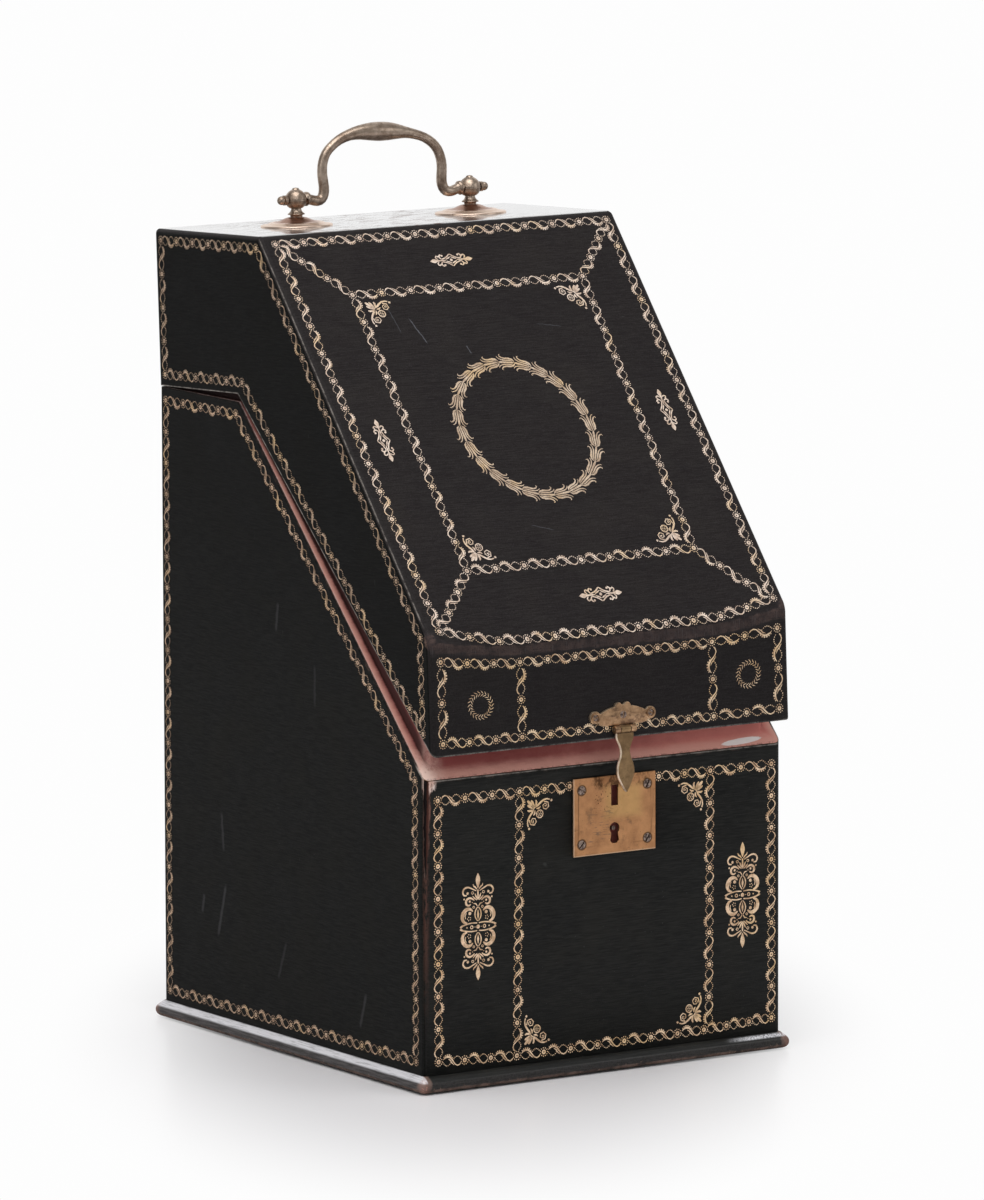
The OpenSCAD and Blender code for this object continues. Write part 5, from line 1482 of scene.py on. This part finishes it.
bail_line = [(-53.5, 0, 1.5), (-44.3, 0, 1.5), (-44.2, 0, 3.2), (-43.2, 0, 3.4), (-42.6, -0.1, 3.0),
             (-42.2, -0.2, 2.5), (-40.0, -0.8, 2.45), (-37.2, -1.3, 2.5), (-34.9, -0.4, 2.55),
             (-33.6, 1.9, 2.55), (-33.3, 5.0, 2.5), (-33.8, 9.0, 2.45), (-34.0, 13.0, 2.4),
             (-33.4, 17.0, 2.35), (-31.6, 20.9, 2.3), (-28.6, 23.9, 2.3), (-24.0, 26.9, 2.4),
             (-18.4, 28.9, 2.75), (-12.5, 29.8, 3.5), (-6.5, 29.9, 4.3), (-1.5, 29.7, 4.6),
             (3.5, 29.5, 4.4), (8.5, 29.1, 3.7), (14.0, 28.3, 2.75), (19.0, 27.1, 2.4), (24.0, 25.4, 2.3),
             (28.4, 22.6, 2.35), (31.4, 19.2, 2.4), (33.0, 15.2, 2.4), (33.6, 11.5, 2.45),
             (33.4, 7.5, 2.5), (33.2, 4.0, 2.55), (33.9, 1.1, 2.55), (35.7, -0.9, 2.5), (38.3, -1.3, 2.45),
             (40.6, -0.7, 2.45), (42.2, -0.2, 2.5), (42.6, -0.1, 3.0), (43.2, 0, 3.4), (44.2, 0, 3.2),
             (44.3, 0, 1.5), (53.5, 0, 1.5)]
bail = bmesh.new()
line = curve(bail_line, 2)
loop = bmesh.ops.create_circle(bail, cap_ends=True, segments=20, radius=1)["verts"]
place_now = Matrix()
for k, here in enumerate(line):
    way = line[min(k + 1, len(line) - 1)] - line[max(k - 1, 0)]
    turn = Matrix.Rotation(math.atan2(way.x, way.y), 4, "Y")
    place = Matrix.Translation((here.x, handle_y, axis_z + here.y)) @ turn @ Matrix.Scale(here.z, 4)
    if k:
        loop = points_in(bmesh.ops.extrude_edge_only(bail, edges=edges_among(loop))["geom"])
    bmesh.ops.transform(bail, matrix=place @ place_now.inverted(), verts=loop)
    place_now = place
fill(bail, loop)
bmesh.ops.recalc_face_normals(bail, faces=bail.faces)
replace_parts(settle("bail_cast", bail, bronze, "handle", "bronze", crease=50), "bail")
dress(bronze, "bail_finials")
dress(hinge_brass, "post_nuts")


# Stage: a pale floor with a soft sheen and a white surround, lit by a wide soft lamp from above and
# two weaker ones, with the camera in front and to the left of the case.
floor_shape = bmesh.new()
bmesh.ops.create_grid(floor_shape, x_segments=1, y_segments=1, size=14)
floor_mesh = bpy.data.meshes.new("floor")
floor_shape.to_mesh(floor_mesh)
floor_shape.free()
floor = bpy.data.objects.new("floor", floor_mesh)
bpy.context.scene.collection.objects.link(floor)
gaze_x, gaze_y = 0.54, 0.84
paper = Finish("pale_floor", constants={"Roughness": 0.3, "IOR": 1.35})
paper.wear(colour=paper.mix(paper.noise(600, detail=1).fade(0.2, 0.8), (0.87, 0.853, 0.868),
                            (0.885, 0.87, 0.882)))
beside, deep = (paper.x * gaze_y - paper.y * gaze_x) * 2.1, paper.x * gaze_x + paper.y * gaze_y
behind = deep / distance(paper.x, paper.y)
seen = paper.add("ShaderNodeLightPath", {}, {}) + (
    paper.add("ShaderNodeLightPath", {}, {}, "Is Glossy Ray") * behind.fade(0.45, 0.8))
white = paper.add("ShaderNodeEmission", {}, {"Color": (1, 1, 1, 1), "Strength": 0.985})
blended = paper.add("ShaderNodeMixShader", {}, {
    0: distance(beside, deep).fade(180, 440) * seen, 1: Socket(paper, paper.surface.outputs[0]), 2: white})
paper.tree.links.new(blended.out, paper.tree.nodes["Material Output"].inputs[0])
floor_mesh.materials.append(paper.material)

world = bpy.data.worlds.new("white_surround")
bpy.context.scene.world = world
world.use_nodes = True
nodes, links = world.node_tree.nodes, world.node_tree.links
path, toward, facing = (nodes.new(kind) for kind in (
    "ShaderNodeLightPath", "ShaderNodeTexCoord", "ShaderNodeVectorMath"))
facing.operation = "DOT_PRODUCT"
facing.inputs[1].default_value = (gaze_x, gaze_y, 0)
links.new(toward.outputs["Generated"], facing.inputs[0])


def scaled(source, values):
    """Maps a socket from one range to another."""
    node = nodes.new("ShaderNodeMapRange")
    for socket, value in zip(("From Min", "From Max", "To Min", "To Max"), values):
        node.inputs[socket].default_value = value
    links.new(source, node.inputs["Value"])
    return node


in_gloss = scaled(facing.outputs["Value"], (0.35, 0.8, 0.3, 0.98))
for_gloss = scaled(path.outputs["Is Glossy Ray"], (0, 1, 0.55, 1))
for_camera = scaled(path.outputs["Is Camera Ray"], (0, 1, 0, 1))
links.new(in_gloss.outputs[0], for_gloss.inputs["To Max"])
links.new(for_gloss.outputs[0], for_camera.inputs["To Min"])
links.new(for_camera.outputs[0], nodes["Background"].inputs["Strength"])
nodes["Background"].inputs["Color"].default_value = (1, 1, 1, 1)

aim = Vector((0, 0, 0.2))
for name, place, size, power in (
        ("soft_top", (-0.6, -0.6, 2.6), 2.2, 42), ("soft_left", (-2.6, -0.6, 1.3), 1.4, 5),
        ("soft_right", (2.2, -2.4, 1.6), 1.6, 9)):
    lamp = bpy.data.lights.new(name, "AREA")
    lamp.size = size
    lamp.energy = power
    holder = bpy.data.objects.new(name, lamp)
    bpy.context.scene.collection.objects.link(holder)
    holder.location = place
    holder.rotation_euler = (aim - Vector(place)).to_track_quat("-Z", "Y").to_euler()

view_yaw, view_pitch, view_roll = 0.5781352, 0.1481513, -0.002868
view_place = (-2.577725, -3.971085, 0.91507)
frame_height, focal_length = 1200, 10099.1
camera_data = bpy.data.cameras.new("camera")
camera_data.sensor_width = 36
camera_data.lens = focal_length / frame_height * camera_data.sensor_width
camera_data.clip_end = 100
camera = bpy.data.objects.new("camera", camera_data)
bpy.context.scene.collection.objects.link(camera)
gaze = Vector((math.sin(view_yaw) * math.cos(view_pitch), math.cos(view_yaw) * math.cos(view_pitch),
               -math.sin(view_pitch)))
level_right = Vector((math.cos(view_yaw), -math.sin(view_yaw), 0))
level_up = level_right.cross(gaze)
right = math.cos(view_roll) * level_right + math.sin(view_roll) * level_up
up = math.cos(view_roll) * level_up - math.sin(view_roll) * level_right
camera.matrix_world = Matrix.Translation(view_place) @ Matrix((right, up, -gaze)).transposed().to_4x4()
bpy.context.scene.camera = camera
bpy.context.scene.view_settings.view_transform = "Standard"
